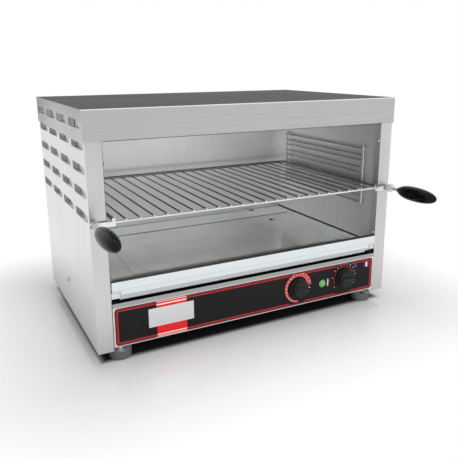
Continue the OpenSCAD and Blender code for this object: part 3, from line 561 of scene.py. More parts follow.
def make_materials():
    """Makes every finish of the grill once, from the settings."""
    steel = bpy.context.scene.melter_steel
    ink = bpy.context.scene.melter_print
    front, side, lining, tray = (
        tuple(getattr(steel, key)) for key in ("front", "side", "lining", "tray")
    )
    satin = ("z", 0.34, 0.75, 0.012, 0.035)
    MATERIALS.update(
        rim=brushed_steel("cover rim steel", front),
        # painted shade: front steel at a third of its tone, for a dark line at the left stile's
        # inner edge
        stile_edge=brushed_steel("stile edge steel", tone(front, 0.3), "z"),
        # painted shade: front steel, painted dark over the opening by its bands
        rim_edge=brushed_steel("rim edge steel", front),
        # painted shade: the cover's top is painted darker than its rim
        top=brushed_steel("cover top steel", tuple(steel.top), "x", 0.45, streak=0.03, edge=0.3),
        stile=brushed_steel("stile steel", front, "z"),
        # painted light: the right stile is painted lighter than the left
        right_stile=brushed_steel("right stile steel", tone(front, 1.2), "z"),
        # painted shade: darker steel for the louvres' mouths
        louvre=brushed_steel("louvre steel", even(0.5), "z", 0.4, edge=0.8),
        # painted light: pale, mostly diffuse steel for the louvres' lower walls
        louvre_wall=brushed_steel("louvre wall steel", even(0.9), "y", 0.4, 0.3),
        # painted light: the louvre ramps' steel, brightened by its bands
        scoop=brushed_steel("scoop steel", tone(side, 0.95), "z", 0.36, 0.7),
        # painted highlight: pale steel for the cover's louvre ramps
        bright_scoop=brushed_steel("cover scoop steel", even(0.8), "y", 0.3, 0.8),
        # painted shade: the side steel painted darker for the cover's sides
        cover_side=brushed_steel("cover side steel", tone(side, 0.62), "y", 0.34),
        panel=brushed_steel("control panel steel", front),
        # painted shadow: near black steel for the control panel's top flange under the tray
        flange=brushed_steel("shaded flange steel", even(0.03), "x", 0.5, 1.0, 0.1, 0.1, 0.1),
        # painted highlight: near white steel painted on the cover's folds
        bright_fold=brushed_steel("bright fold steel", even(0.95)),
        # painted light: the stiles' steel painted lighter for the side panels' outer faces
        side=brushed_steel("side steel", side, "z", 0.36),
        rough=brushed_steel("inner sheet steel", even(0.4), "x", 0.5, 0.9),
        lining=brushed_steel("lining steel", lining, *satin),
        rear_lining=brushed_steel("rear lining steel", lining, *satin),
        # painted light and shade: the right wall starts darker than the left and is painted lighter
        # towards the rear
        right_lining=brushed_steel("right lining steel", tone(lining, 0.9), *satin),
        deck=brushed_steel("deck steel", even(0.12), "x", 0.5, 0.9, 0.1, 0.05, 0.4),
        ceiling=brushed_steel("ceiling steel", (0.7, 0.7, 0.69), "x", 0.22, 0.9),
        tray=brushed_steel("tray steel", tray, "x", 0.28, 0.55, grain=0.03),
        ear=brushed_steel("tray ear steel", tone(tray, 0.72), "x", 0.28, 0.7, grain=0.03),
        # painted shade: the tray's steel painted darker for its front
        tray_front=brushed_steel("tray front steel", tone(tray, 0.84), "x", 0.28, 0.8, grain=0.03),
        # painted shade: dark steel for the tray's top hem
        hem=brushed_steel("tray hem steel", (0.24, 0.245, 0.25), "x", 0.3, 1.0, 0.1, 0.05, 0.6),
        well=bright_metal("tray floor steel", (0.95, 0.955, 0.955), 0.14, 0.85),
        # painted shadow: near black ink put on faces that stand in shade
        shadow=printed_ink("dark gap", even(0.01), 0.8, 0.0),
        mirror=bright_metal("polished plate", (0.97, 0.965, 0.955), 0.12, 0.85),
        plate=brushed_steel("nameplate metal", even(0.75), grain=0.02),
        wire=bright_metal("chromed wire", even(0.8)),
        # painted shade: the shelf's wires behind its front are painted darker than the chromed
        # front
        bar=bright_metal("shelf bar wire", even(0.28), 0.25),
        rack_wire=bright_metal("rack wire", even(0.6), 0.22),
        rack_shade=bright_metal("shaded rack wire", even(0.1), 0.3),
        stem=bright_metal("turned stem", (0.7, 0.7, 0.72)),
        grip=moulded_plastic("grip plastic", even(0.003), 0.1, 500, 0.02, 0.15),
        knob=moulded_plastic("knob plastic", even(0.008), 0.42, 900, 0.08, 0.3),
        pointer=printed_ink("pointer ink", (0.14, 0.012, 0.018)),
        foil=printed_ink("foil ground", tuple(ink.ground), 0.34, 0.15),
        line=printed_ink("border ink", tuple(ink.line)),
        band=printed_ink("band ink", tuple(ink.band), 0.3),
        pale_band=printed_ink("pale band ink", (0.95, 0.62, 0.58), 0.3),
        dial=printed_ink("dial ink", tuple(ink.dial)),
        dial_dark=printed_ink("dial segment ink", (0.58, 0.014, 0.03)),
        white=printed_ink("white ink", even(0.8)),
        blue=printed_ink("blue ink", (0.03, 0.07, 0.4)),
        red=printed_ink("red ink", (0.7, 0.02, 0.03)),
        violet=printed_ink("violet ink", (0.2, 0.12, 0.35)),
        orange=printed_ink("orange ink", (0.7, 0.3, 0.05)),
        bezel=bright_metal("lamp bezel", (0.3, 0.31, 0.3), 0.2),
        lens=lamp_plastic("lamp lens", (0.06, 0.44, 0.08)),
        quartz=quartz_glass("quartz"),
        coil=bright_metal("heating wire", (0.22, 0.2, 0.19), 0.45),
        ceramic=ceramic("heater ceramic", (0.72, 0.7, 0.64)),
        case=moulded_plastic("regulator plastic", even(0.03), 0.5),
        zinc=brushed_steel("timer case zinc", (0.5, 0.5, 0.48), "z", 0.45, 0.9),
        brass=bright_metal("spindle brass", (0.62, 0.47, 0.2), 0.25),
        block=moulded_plastic("terminal plastic", (0.7, 0.68, 0.62), 0.5),
        gland=moulded_plastic("gland plastic", even(0.03), 0.45),
        sleeve=woven_sleeve("wire sleeve", (0.6, 0.56, 0.48)),
        foot=moulded_plastic("foot rubber", even(0.09), 0.55, 500, 0.25),
        fixing=bright_metal("fixing steel", even(0.6), 0.25),
        stud=bright_metal("foot stud steel", even(0.85), 0.3, 0.7),
    )
    for key, axis, stops in SHADES:
        shade_bands(MATERIALS[key], axis, stops)


# ---------------- mesh helpers


def piece_from(bm, name, materials, body, smooth=32):
    """Turns a bmesh into a piece that rides on a body."""
    mesh = bpy.data.meshes.new(name)
    bm.normal_update()
    bm.to_mesh(mesh)
    bm.free()
    for left_over in ("custom_normal", "sharp_edge", "sharp_face"):
        layer = mesh.attributes.get(left_over)
        if layer:
            mesh.attributes.remove(layer)
    for key in materials:
        mesh.materials.append(MATERIALS[key])
    mesh.shade_smooth()
    mesh.set_sharp_from_angle(angle=math.radians(smooth))
    piece = bpy.data.objects.new(name, mesh)
    bpy.context.scene.collection.objects.link(piece)
    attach(piece, body)
    return piece


def split(bm, point, normal):
    """Splits the faces along a plane."""
    everything = bm.verts[:] + bm.edges[:] + bm.faces[:]
    bmesh.ops.bisect_plane(bm, geom=everything, plane_co=point, plane_no=normal)


def round_edges(bm, edges, radius, segments):
    """Rounds edges with a bevel."""
    bmesh.ops.bevel(
        bm,
        geom=edges,
        offset=radius,
        offset_type="OFFSET",
        segments=segments,
        profile=0.5,
        affect="EDGES",
        clamp_overlap=True,
        material=-1,
    )


def close_up(bm):
    """Turns every face of a closed shape outwards."""
    bmesh.ops.recalc_face_normals(bm, faces=bm.faces)


def add_copies(bm, other, places):
    """Adds another bmesh's shape to this one at each of the places, and frees the other."""
    carrier = bpy.data.meshes.new("carrier")
    other.to_mesh(carrier)
    other.free()
    for place in places:
        known = len(bm.verts)
        bm.from_mesh(carrier)
        bm.verts.ensure_lookup_table()
        bmesh.ops.translate(bm, vec=place, verts=bm.verts[known:])
    bpy.data.meshes.remove(carrier)


def slim_louvres(bm):
    """Makes the louvres a little lower, with a taper towards their flush front ends."""
    for start in LOUVRE_STARTS:
        for share, height in LOUVRE_TAPER[1:-1]:
            split(bm, at(0, start + share * LOUVRE_LENGTH, 0), (0, 1, 0))
    for vert in bm.verts:
        x, y, z = place_of(vert.co)
        for start in LOUVRE_STARTS:
            share = (y - start) / LOUVRE_LENGTH
            for row in LOUVRE_ROWS:
                if -0.01 < share < 1.01 and abs(z - row) < LOUVRE_REACH:
                    height = next(h for s, h in LOUVRE_TAPER if share < s + 0.01)
                    vert.co.z += (row - z) * (1 - height) * MM


def widen_ear(bm):
    """Brings the inner and lower edges of the left runner's ear close to the tray's front."""
    for vert in bm.verts:
        x, y, z = place_of(vert.co)
        if y > EAR_DEPTH:
            continue
        if abs(x + EAR_INNER) < 0.1:
            vert.co.x = EAR_REACH[0 if z < EAR_STEP else 1] * MM
        if abs(z - EAR_LOWER) < 0.1:
            vert.co.z -= EAR_DROP * MM


def dress(node, name, materials, rounding=0.0, paint=None, cuts=(), shape=None):
    """A merged copy of a node's solid with its sharp edges rounded, standing for the node.

    shape changes the merged copy before its edges are rounded. Each cut (point, normal) then
    splits the faces along a plane, so that a strip can have its own finish. paint names the
    finish of a face, from its normal and its middle; without it a piece has the first one.
    """
    source = frame["nodes"][node]
    bm = bmesh.new()
    bm.from_mesh(source.data)
    bmesh.ops.remove_doubles(bm, verts=bm.verts, dist=0.000002)
    if shape:
        shape(bm)
    bmesh.ops.dissolve_limit(
        bm, angle_limit=FLAT_ANGLE, verts=bm.verts, edges=bm.edges, delimit={"NORMAL"}
    )
    if rounding:
        sharp = [e for e in bm.edges if e.is_manifold and e.calc_face_angle(0) > SHARP_ANGLE]
        round_edges(bm, sharp, rounding, 2)
    for point, normal in cuts:
        split(bm, point, normal)
    bm.normal_update()
    for face in bm.faces:
        finish = paint(face.normal, face.calc_center_median()) if paint else materials[0]
        face.material_index = materials.index(finish)
    piece = piece_from(bm, name, materials, source["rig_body"])
    shading = piece.modifiers.new("Even shading", "WEIGHTED_NORMAL")
    shading.keep_sharp = True
    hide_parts(node)


def turned_part(node):
    """The middle of a turned part's rear face, its radius and its length."""
    low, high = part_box(node)
    middle = (low + high) / 2
    return Vector((middle.x, high.y, middle.z)), (high.x - low.x) / 2, high.y - low.y


def spin_profile(bm, points, centre, steps):
    """Spins a profile of (radius, distance to the front) round an axis through a centre."""
    axis = Vector((0, -1, 0))
    side = axis.orthogonal().normalized()
    verts = [bm.verts.new(centre + side * r + axis * d) for r, d in points]
    edges = [bm.edges.new(pair) for pair in zip(verts, verts[1:])]
    bmesh.ops.spin(
        bm,
        geom=verts + edges,
        cent=centre,
        axis=axis,
        angle=math.tau,
        steps=steps,
        use_merge=True,
        use_duplicate=False,
    )
    bmesh.ops.remove_doubles(bm, verts=bm.verts, dist=0.0000005)
    close_up(bm)


def bar(size):
    """A straight bar round the origin."""
    made = bmesh.new()
    bmesh.ops.create_cube(made, size=1)
    bmesh.ops.scale(made, vec=size, verts=made.verts)
    return made


def ink_patch(bm, corners, index=0, layers=1):
    """A thin patch of ink on the foil from its corners (x, z) in millimetres."""
    face = bm.faces.new([bm.verts.new(at(x, INK_Y, z)) for x, z in corners])
    face.material_index = index
    made = bmesh.ops.extrude_face_region(bm, geom=[face])
    moved = [v for v in made["geom"] if isinstance(v, bmesh.types.BMVert)]
    thickness = bpy.context.scene.melter_print.thickness * layers
    bmesh.ops.translate(bm, verts=moved, vec=(0, -thickness, 0))
    for v in moved:
        for f in v.link_faces:
            f.material_index = index


def rectangle(left, right, low, high):
    """The corners of an upright rectangle."""
    return [(left, low), (right, low), (right, high), (left, high)]


def polar(centre, radius, degrees):
    """A point (x, z) at an angle from a dial's centre, counted from the right, anticlockwise."""
    a = math.radians(degrees)
    return (centre[0] + radius * math.cos(a), centre[1] + radius * math.sin(a))


def disc(centre, radius):
    """The corners of a small disc."""
    return [polar(centre, radius, degrees) for degrees in range(0, 360, 30)]


def sector(centre, inners, outer, angles):
    """The corners of a part of a ring, with its inner radius at each of its two angles."""
    return [
        polar(centre, inners[0], angles[0]),
        polar(centre, outer, angles[0]),
        polar(centre, outer, angles[1]),
        polar(centre, inners[1], angles[1]),
    ]


def arc_band(bm, centre, inner, outer, start, end, steps, index=0, taper=0.0):
    """A printed arc, whose inner radius shrinks by the taper from its start to its end."""
    for i in range(steps):
        shares = (i / steps, (i + 1) / steps)
        inners = [inner - taper * t for t in shares]
        angles = [start + (end - start) * t for t in shares]
        ink_patch(bm, sector(centre, inners, outer, angles), index)


def print_from(bm, name, inks):
    """Turns patches of ink into a piece of the foil's print."""
    close_up(bm)
    piece_from(bm, name, inks, "cabinet")


# ---------------- the pieces


class MELTER_OT_cover(bpy.types.Operator):
    """Dress the top cover: rounded folds, brushed rim, painted shade on a darker top, and painted
    highlights and shade on its edges and louvres
    """

    bl_idname = "melter.cover"
    bl_label = "Top cover"

    def execute(self, context):
        def paint(normal, middle):
            x, y, z = place_of(middle)
            if normal.y < -0.9 and y < FRONT_SHEET:
                # painted highlight along the cover's front fold
                if z > BRIGHT_LINE:
                    return "bright_fold"
                # painted shade along the cover's lower front edge
                if z < RIM_LINE:
                    return "rim_edge"
            # painted shade: the cover's top takes the darker top steel
            if normal.z > 0.9 and z > COVER_TOP - TOP_SHEET:
                return "top"
            # painted shade in the mouths of the cover's louvres
            if normal.y < -0.5 and y > MOUTHS:
                return "louvre"
            # painted highlight on the folds round the cover's top
            if normal.z > 0.3 and z > COVER_TOP - TOP_FOLD:
                return "bright_fold"
            # painted light and shade on the lower walls of the cover's louvres
            if normal.z > 0.5 and z > COVER_TOP - TOP_ROW:
                return "louvre_wall"
            # painted highlight on the cover's louvre ramps
            if normal.y > 0.05 and abs(normal.x) > 0.9 and abs(x) < COVER_HALF - SKIN:
                return "bright_scoop"
            # painted light and shade on the cover's sides
            return "cover_side" if abs(normal.x) > 0.5 else "rim"

        fold = context.scene.melter_steel.fold * 2.5
        finishes = ["rim", "top", "cover_side", "louvre"]
        finishes += ["bright_fold", "bright_scoop", "rim_edge", "louvre_wall"]
        cuts = [(at(0, 0, z), (0, 0, 1)) for z in (BRIGHT_LINE, RIM_LINE)]
        dress("top_cover", "cover", finishes, fold, paint, cuts, slim_louvres)
        return {"FINISHED"}


class MELTER_OT_side_panels(bpy.types.Operator):
    """Dress both side panels with their louvres and front stiles"""

    bl_idname = "melter.side_panels"
    bl_label = "Side panels"

    def execute(self, context):
        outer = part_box("side_panel_right")[1].x / MM

        def paint(normal, middle):
            x, y, z = place_of(middle)
            # painted shade: a dark strip along the left stile's inner edge
            if normal.y < -0.9 and y < FRONT_SHEET and -STILE_LINE < x < 0:
                return "stile_edge"
            # painted light and shade on the side panels' louvre ramps
            if normal.y > 0.05 and abs(normal.x) > 0.9 and abs(x) < outer - SKIN:
                return "scoop"
            # painted light: the outer faces take the lighter side steel
            if abs(normal.x) > 0.5:
                return "side"
            # painted light and shade on the lower walls of the side panels' louvres
            if normal.z > 0.5 and LOUVRE_FIELD[0] < z < LOUVRE_FIELD[1]:
                return "louvre_wall"
            # painted shade in the mouths of the side panels' louvres
            return "louvre" if normal.y < -0.5 and y > MOUTHS else stile

        fold = context.scene.melter_steel.fold * 0.7
        cuts = [(at(-STILE_LINE, 0, 0), (1, 0, 0))]
        for side, stile in (("left", "stile"), ("right", "right_stile")):
            finishes = ["side", stile, "louvre", "scoop", "stile_edge", "louvre_wall"]
            names = f"side_panel_{side}", f"panel_{side}"
            dress(*names, finishes, fold, paint, cuts, slim_louvres)
        return {"FINISHED"}


class MELTER_OT_inner_sheets(bpy.types.Operator):
    """Dress the rear panel, base pan and deck plate"""

    bl_idname = "melter.inner_sheets"
    bl_label = "Rear panel, base and deck"

    def execute(self, context):
        fold = context.scene.melter_steel.fold * 0.7
        dress("rear_panel", "back_sheet", ["rough"], fold)
        dress("base_pan", "base_sheet", ["rough"], fold)
        dress("deck_plate", "deck_sheet", ["deck"], fold)
        return {"FINISHED"}


class MELTER_OT_lining(bpy.types.Operator):
    """Dress the walls and ceiling of the grill space and the tray's runners"""

    bl_idname = "melter.lining"
    bl_label = "Lining"

    def execute(self, context):
        def paint(normal, middle):
            # painted shadow: the right runner's upright faces are painted near black
            return "shadow" if abs(normal.x) > 0.9 else "ear"

        dress("liner_left", "wall_left", ["lining"])
        dress("liner_right", "wall_right", ["right_lining"])
        dress("liner_rear", "wall_rear", ["rear_lining"])
        dress("ceiling_reflector", "ceiling", ["ceiling"])
        dress("tray_runner_left", "runner_left", ["ear"], shape=widen_ear)
        dress("tray_runner_right", "runner_right", ["ear", "shadow"], paint=paint)
        return {"FINISHED"}


class MELTER_OT_tray(bpy.types.Operator):
    """Dress the crumb tray and its polished drip plate"""

    bl_idname = "melter.tray"
    bl_label = "Crumb tray"

    def execute(self, context):
        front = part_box("crumb_tray")[0].y + 0.0005

        def paint(normal, middle):
            x, y, z = place_of(middle)
            # painted shadow on the walls of the tray's holes
            if any(math.dist((abs(x), y), hole) < HOLE_REACH for hole in TRAY_HOLES):
                return "shadow"
            # painted shade: the tray's top hem is painted dark
            if normal.z > 0.9 and z > TRAY_TOP - TOP_SHEET:
                return "hem"
            # painted shade on the tray's front
            if normal.y < -0.9 and middle.y < front:
                return "tray_front"
            return "well" if normal.z > 0.9 and abs(normal.y) > 0.02 else "tray"

        fold = context.scene.melter_steel.fold
        finishes = ["tray", "hem", "tray_front", "well", "shadow"]
        dress("crumb_tray", "tray", finishes, fold, paint)
        dress("drip_plate", "drip_sheet", ["mirror"])
        return {"FINISHED"}


class MELTER_OT_rack(bpy.types.Operator):
    """Dress the rack guides"""

    bl_idname = "melter.rack"
    bl_label = "Rack guides"

    def execute(self, context):
        def paint(normal, middle):
            return "rack_shade" if normal.z < -0.1 else "rack_wire"

        for side in ("left", "right"):
            finishes = ["rack_wire", "rack_shade"]
            dress(f"rack_guide_{side}", f"rack_{side}", finishes, paint=paint)
        return {"FINISHED"}


class MELTER_OT_shelf(bpy.types.Operator):
    """Dress the wire shelf with its handle arms, stems and nuts"""

    bl_idname = "melter.shelf"
    bl_label = "Wire shelf"

    def execute(self, context):
        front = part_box("wire_shelf")[0].y + 0.01

        def paint(normal, middle):
            # painted shade on the shelf's wires behind its front
            return "wire" if middle.y < front else "bar"

        dress("wire_shelf", "shelf", ["wire", "bar"], paint=paint)
        for side in ("left", "right"):
            dress(f"handle_stem_{side}", f"stem_{side}", ["stem"], 0.0003)
        dress("handle_nuts", "stem_nuts", ["stem"], 0.0003)
        return {"FINISHED"}


class MELTER_OT_grips(bpy.types.Operator):
    """Turn the two olive-shaped grips"""

    bl_idname = "melter.grips"
    bl_label = "Grips"

    def execute(self, context):
        for side in ("left", "right"):
            start, radius, length = turned_part(f"grip_{side}")
            points = [*BORE, (GRIP_FACE, 0.0)]
            for i in range(1, GRIP_STEPS):
                share = (1 - math.cos(math.pi * i / GRIP_STEPS)) / 2
                swell = (1 - abs(2 * share**0.9 - 1) ** 2.2) ** (1 / 2.2)
                least = GRIP_COLLAR if share < 0.5 else 0.0
                points.append((max(least, radius * swell), length * share))
            points.append((0.0, length))
            bm = bmesh.new()
            spin_profile(bm, points, start, 56)
            piece = piece_from(bm, f"handle_{side}", ["grip"], "shelf", 40)
            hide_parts(f"grip_{side}")
        return {"FINISHED"}


class MELTER_OT_front(bpy.types.Operator):
    """Dress the control panel and the foil's ground"""

    bl_idname = "melter.front"
    bl_label = "Control panel"

    def execute(self, context):
        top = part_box("control_panel")[1].z - 0.001

        def paint(normal, middle):
            # painted shadow: the control panel's top flange is painted near black
            return "flange" if normal.z > 0.9 and middle.z > top else "panel"

        fold = context.scene.melter_steel.fold
        dress("control_panel", "front_sheet", ["panel", "flange"], fold, paint)
        dress("panel_foil", "foil_ground", ["foil"])
        return {"FINISHED"}


class MELTER_OT_print(bpy.types.Operator):
    """Print the border, the band and the dials on the foil"""

    bl_idname = "melter.print"
    bl_label = "Print on the foil"

    def execute(self, context):
        low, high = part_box("panel_foil")
        half, bottom, top = high.x / MM, place_of(low)[2], place_of(high)[2]
        bm = bmesh.new()
        for inset, *line in FRAME_LINES:
            self.frame_line(bm, half - inset, bottom + inset, top - inset, *line)
        print_from(bm, "print_border", ["line"])
        self.band(bottom, top)
        self.heat_dial()
        self.timer_dial()
        self.icons()
        return {"FINISHED"}

    def frame_line(self, bm, half, bottom, top, width, radius, gaps):
        """One line of the border, with gaps in its top and bottom runs."""
        runs, x = [], -half + radius
        for start, end in gaps:
            runs.append((x, start))
            x = end
        runs.append((x, half - radius))
        for start, end in runs:
            for z in (bottom, top - width):
                ink_patch(bm, rectangle(start, end, z, z + width))
        for sides in ((-half, -half + width), (half - width, half)):
            ink_patch(bm, rectangle(*sides, bottom + radius, top - radius))
        for x, z, start in (
            (half - radius, top - radius, 0),
            (-half + radius, top - radius, 90),
            (-half + radius, bottom + radius, 180),
            (half - radius, bottom + radius, 270),
        ):
            arc_band(bm, (x, z), radius - width, radius, start, start + 90, 6)

    def band(self, bottom, top):
        """The upright band, with two pale stripes at each end."""
        heights = [bottom + z for z in BAND_LOW] + [top - z for z in BAND_HIGH]
        bm = bmesh.new()
        for i, (low, high) in enumerate(zip(heights, heights[1:])):
            ink_patch(bm, rectangle(*BAND_SIDES, low, high), (i + 1) % 2, layers=2)
        print_from(bm, "print_band", ["band", "pale_band"])

    def heat_dial(self):
        """A tapered scale with dark segments, and its white dot."""
        bm = bmesh.new()
        start, end = HEAT_RANGE
        arc_band(bm, HEAT_CENTRE, HEAT_INNER, HEAT_OUTER, start, end, 60, taper=HEAT_TAPER)
        for i in range(HEAT_SEGMENTS):
            shares = [(i + part) / HEAT_SEGMENTS for part in SEGMENT_ENDS]
            inners = [HEAT_INNER - HEAT_TAPER * t + SEGMENT_MARGIN for t in shares]
            angles = [start + (end - start) * t for t in shares]
            corners = sector(HEAT_CENTRE, inners, HEAT_OUTER - SEGMENT_MARGIN, angles)
            ink_patch(bm, corners, 1, layers=2)
        ink_patch(bm, disc(*HEAT_DOT), 2)
        print_from(bm, "print_heat_dial", ["dial", "dial_dark", "white"])

    def timer_dial(self):
        """White ticks, a dark arc inside them and the orange mark of the rest position."""
        inner, outer = TICK_RADII
        bm = bmesh.new()
        for tick in TIMER_TICKS:
            angles = (tick - TICK_HALF, tick + TICK_HALF)
            ink_patch(bm, sector(TIMER_CENTRE, (inner, inner), outer, angles))
        arc_band(bm, TIMER_CENTRE, *TIMER_ARC, 40, 1)
        ink_patch(bm, [polar(TIMER_CENTRE, *corner) for corner in TIMER_MARK], 2)
        print_from(bm, "print_timer_dial", ["white", "dial_dark", "orange"])

    def icons(self):
        """A clock, a thermometer with its bulb and ticks, and a three-colour patch."""
        bm = bmesh.new()
        arc_band(bm, *CLOCK, 0, 360, 24)
        for *edges, index in ICON_BARS:
            ink_patch(bm, rectangle(*edges), index)
        ink_patch(bm, disc(*THERMOMETER_BULB), 2)
        for z in (38 + 2.4 * i for i in range(4)):
            ink_patch(bm, rectangle(158.6, 160, z, z + 0.8), 1)
        for i, index in enumerate((3, 1, 4)):
            x = 247.5 + STRIPE * i
            ink_patch(bm, rectangle(x, x + STRIPE, 56, 66), index)
        print_from(bm, "print_icons", ["violet", "white", "orange", "blue", "red"])


class MELTER_OT_nameplate(bpy.types.Operator):
    """Dress the bare nameplate"""

    bl_idname = "melter.nameplate"
    bl_label = "Nameplate"

    def execute(self, context):
        dress("nameplate", "bare_plate", ["plate"], 0.0003)
        return {"FINISHED"}


class MELTER_OT_knobs(bpy.types.Operator):
    """Turn the knobs and set a raised pointer ridge on each"""

    bl_idname = "melter.knobs"
    bl_label = "Knobs"

    def execute(self, context):
        self.knob("heat", -15)
        self.knob("timer", -3)
        for name in ("heat", "timer"):
            dress(f"{name}_spindle", f"{name}_shaft", ["brass"], 0.0002)
        return {"FINISHED"}

    def knob(self, name, pointing):
        """A knob whose ridge is turned by an angle, with the pointer's mark on the ridge."""
        base, radius, length = turned_part(f"{name}_knob")
        points = BORE + [(radius - inset, height) for inset, height in KNOB_FLANK]
        points += [(radius - inset, length - depth) for inset, depth in KNOB_CROWN]
        points.append((0.0, points[-1][1]))
        bm = bmesh.new()
        spin_profile(bm, points, base, 64)
        ridge = bar((2 * radius - RIDGE_ENDS, RIDGE_DEPTH, RIDGE_HEIGHT))
        round_edges(ridge, ridge.edges[:], RIDGE_ROUNDING, 3)
        mark = bar((radius - MARK_ENDS, *MARK_SIZE))
        outwards = (radius / 2 - MARK_SHIFT, -RIDGE_DEPTH / 2, 0)
        bmesh.ops.translate(mark, vec=outwards, verts=mark.verts)
        for face in mark.faces:
            face.material_index = 1
        place = Matrix.Translation(base + Vector((0, -length + RIDGE_DEPTH / 2, 0)))
        turn = Matrix.Rotation(math.radians(-pointing), 4, "Y")
        for part in (ridge, mark):
            bmesh.ops.transform(part, matrix=place @ turn, verts=part.verts)
            add_copies(bm, part, [(0, 0, 0)])
        piece = piece_from(
            bm, f"{name}_dial_knob", ["knob", "pointer"], f"{name}_control"
        )
        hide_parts(f"{name}_knob")


class MELTER_OT_lamp(bpy.types.Operator):
    """Dress the pilot lamp's bezel and its green lens"""

    bl_idname = "melter.lamp"
    bl_label = "Pilot lamp"

    def execute(self, context):
        dress("lamp_body", "lamp_bezel", ["bezel"], 0.0003)
        dress("lamp_lens", "lamp_dome", ["lens"])
        return {"FINISHED"}


class MELTER_OT_heating(bpy.types.Operator):
    """Dress the quartz tubes and ceramic caps and wind the heating coils"""

    bl_idname = "melter.heating"
    bl_label = "Heating elements"

    def execute(self, context):
        dress("quartz_tubes", "tubes", ["quartz"])
        dress("tube_caps", "caps", ["ceramic"], 0.0006)
        low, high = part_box("heating_coils")
        radius = (high.z - low.z) / 2
        z = (high.z + low.z) / 2
        wire = 0.0006
        turns, runs, steps = 6, 20, 12
        pitch = (high.x - low.x - 2 * wire) / (turns * runs)
        stretch = bmesh.new()
        ring = bmesh.ops.create_circle(stretch, radius=wire, segments=6)
        place = Matrix.Translation((0, 0, radius - wire)) @ Matrix.Rotation(math.pi / 2, 4, "X")
        place = place @ Matrix.Rotation(math.pi / 2, 4, "Z")
        bmesh.ops.transform(stretch, matrix=place, verts=ring["verts"])
        bmesh.ops.spin(
            stretch,
            geom=ring["verts"] + stretch.edges[:],
            cent=(0, 0, 0),
            axis=(1, 0, 0),
            dvec=(pitch / steps, 0, 0),
            angle=math.tau * turns,
            steps=turns * steps,
            use_merge=False,
            use_duplicate=False,
        )
        places = [
            (low.x + wire + run * turns * pitch, y, z)
            for y in (low.y + radius, (low.y + high.y) / 2, high.y - radius)
            for run in range(runs)
        ]
        bm = bmesh.new()
        add_copies(bm, stretch, places)
        bmesh.ops.remove_doubles(bm, verts=bm.verts, dist=0.00001)
        bmesh.ops.holes_fill(bm, edges=[e for e in bm.edges if e.is_boundary], sides=6)
        close_up(bm)
        piece = piece_from(bm, "coils", ["coil"], "cabinet", 60)
        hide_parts("heating_coils")
        return {"FINISHED"}


class MELTER_OT_works(bpy.types.Operator):
    """Dress the regulator, timer, terminal block, gland and wires"""

    bl_idname = "melter.works"
    bl_label = "Electrical parts"

    def execute(self, context):
        dress("heat_regulator", "regulator_case", ["case"], 0.0006)
        dress("timer_case", "timer_box", ["zinc"], 0.0006)
        dress("terminal_block", "terminals", ["block"], 0.0006)
        dress("cable_gland", "gland", ["gland"], 0.0006)
        dress("gland_nut", "gland_lock_nut", ["gland"], 0.0004)
        dress("wiring_loom", "loom", ["sleeve"])
        return {"FINISHED"}


class MELTER_OT_feet(bpy.types.Operator):
    """Dress the levelling feet and their nuts"""

    bl_idname = "melter.feet"
    bl_label = "Feet"

    def execute(self, context):
        def paint(normal, middle):
            on_stud = (middle - axis).xy.length < STUD_RADIUS and middle.z > PAD_TOP
            return "stud" if on_stud else "foot"

        for place in ("front_left", "front_right", "rear_left", "rear_right"):
            low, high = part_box(f"foot_{place}")
            axis = (low + high) / 2
            dress(f"foot_{place}", f"pad_{place}", ["foot", "stud"], paint=paint)
        dress("foot_nuts", "pad_nuts", ["fixing"], 0.0004)
        return {"FINISHED"}


class MELTER_OT_screws(bpy.types.Operator):
    """Dress the screws"""

    bl_idname = "melter.screws"
    bl_label = "Screws"

    def execute(self, context):
        for kind in ("wall", "side", "rear"):
            dress(f"{kind}_screws", f"{kind}_screw_heads", ["fixing"])
        return {"FINISHED"}


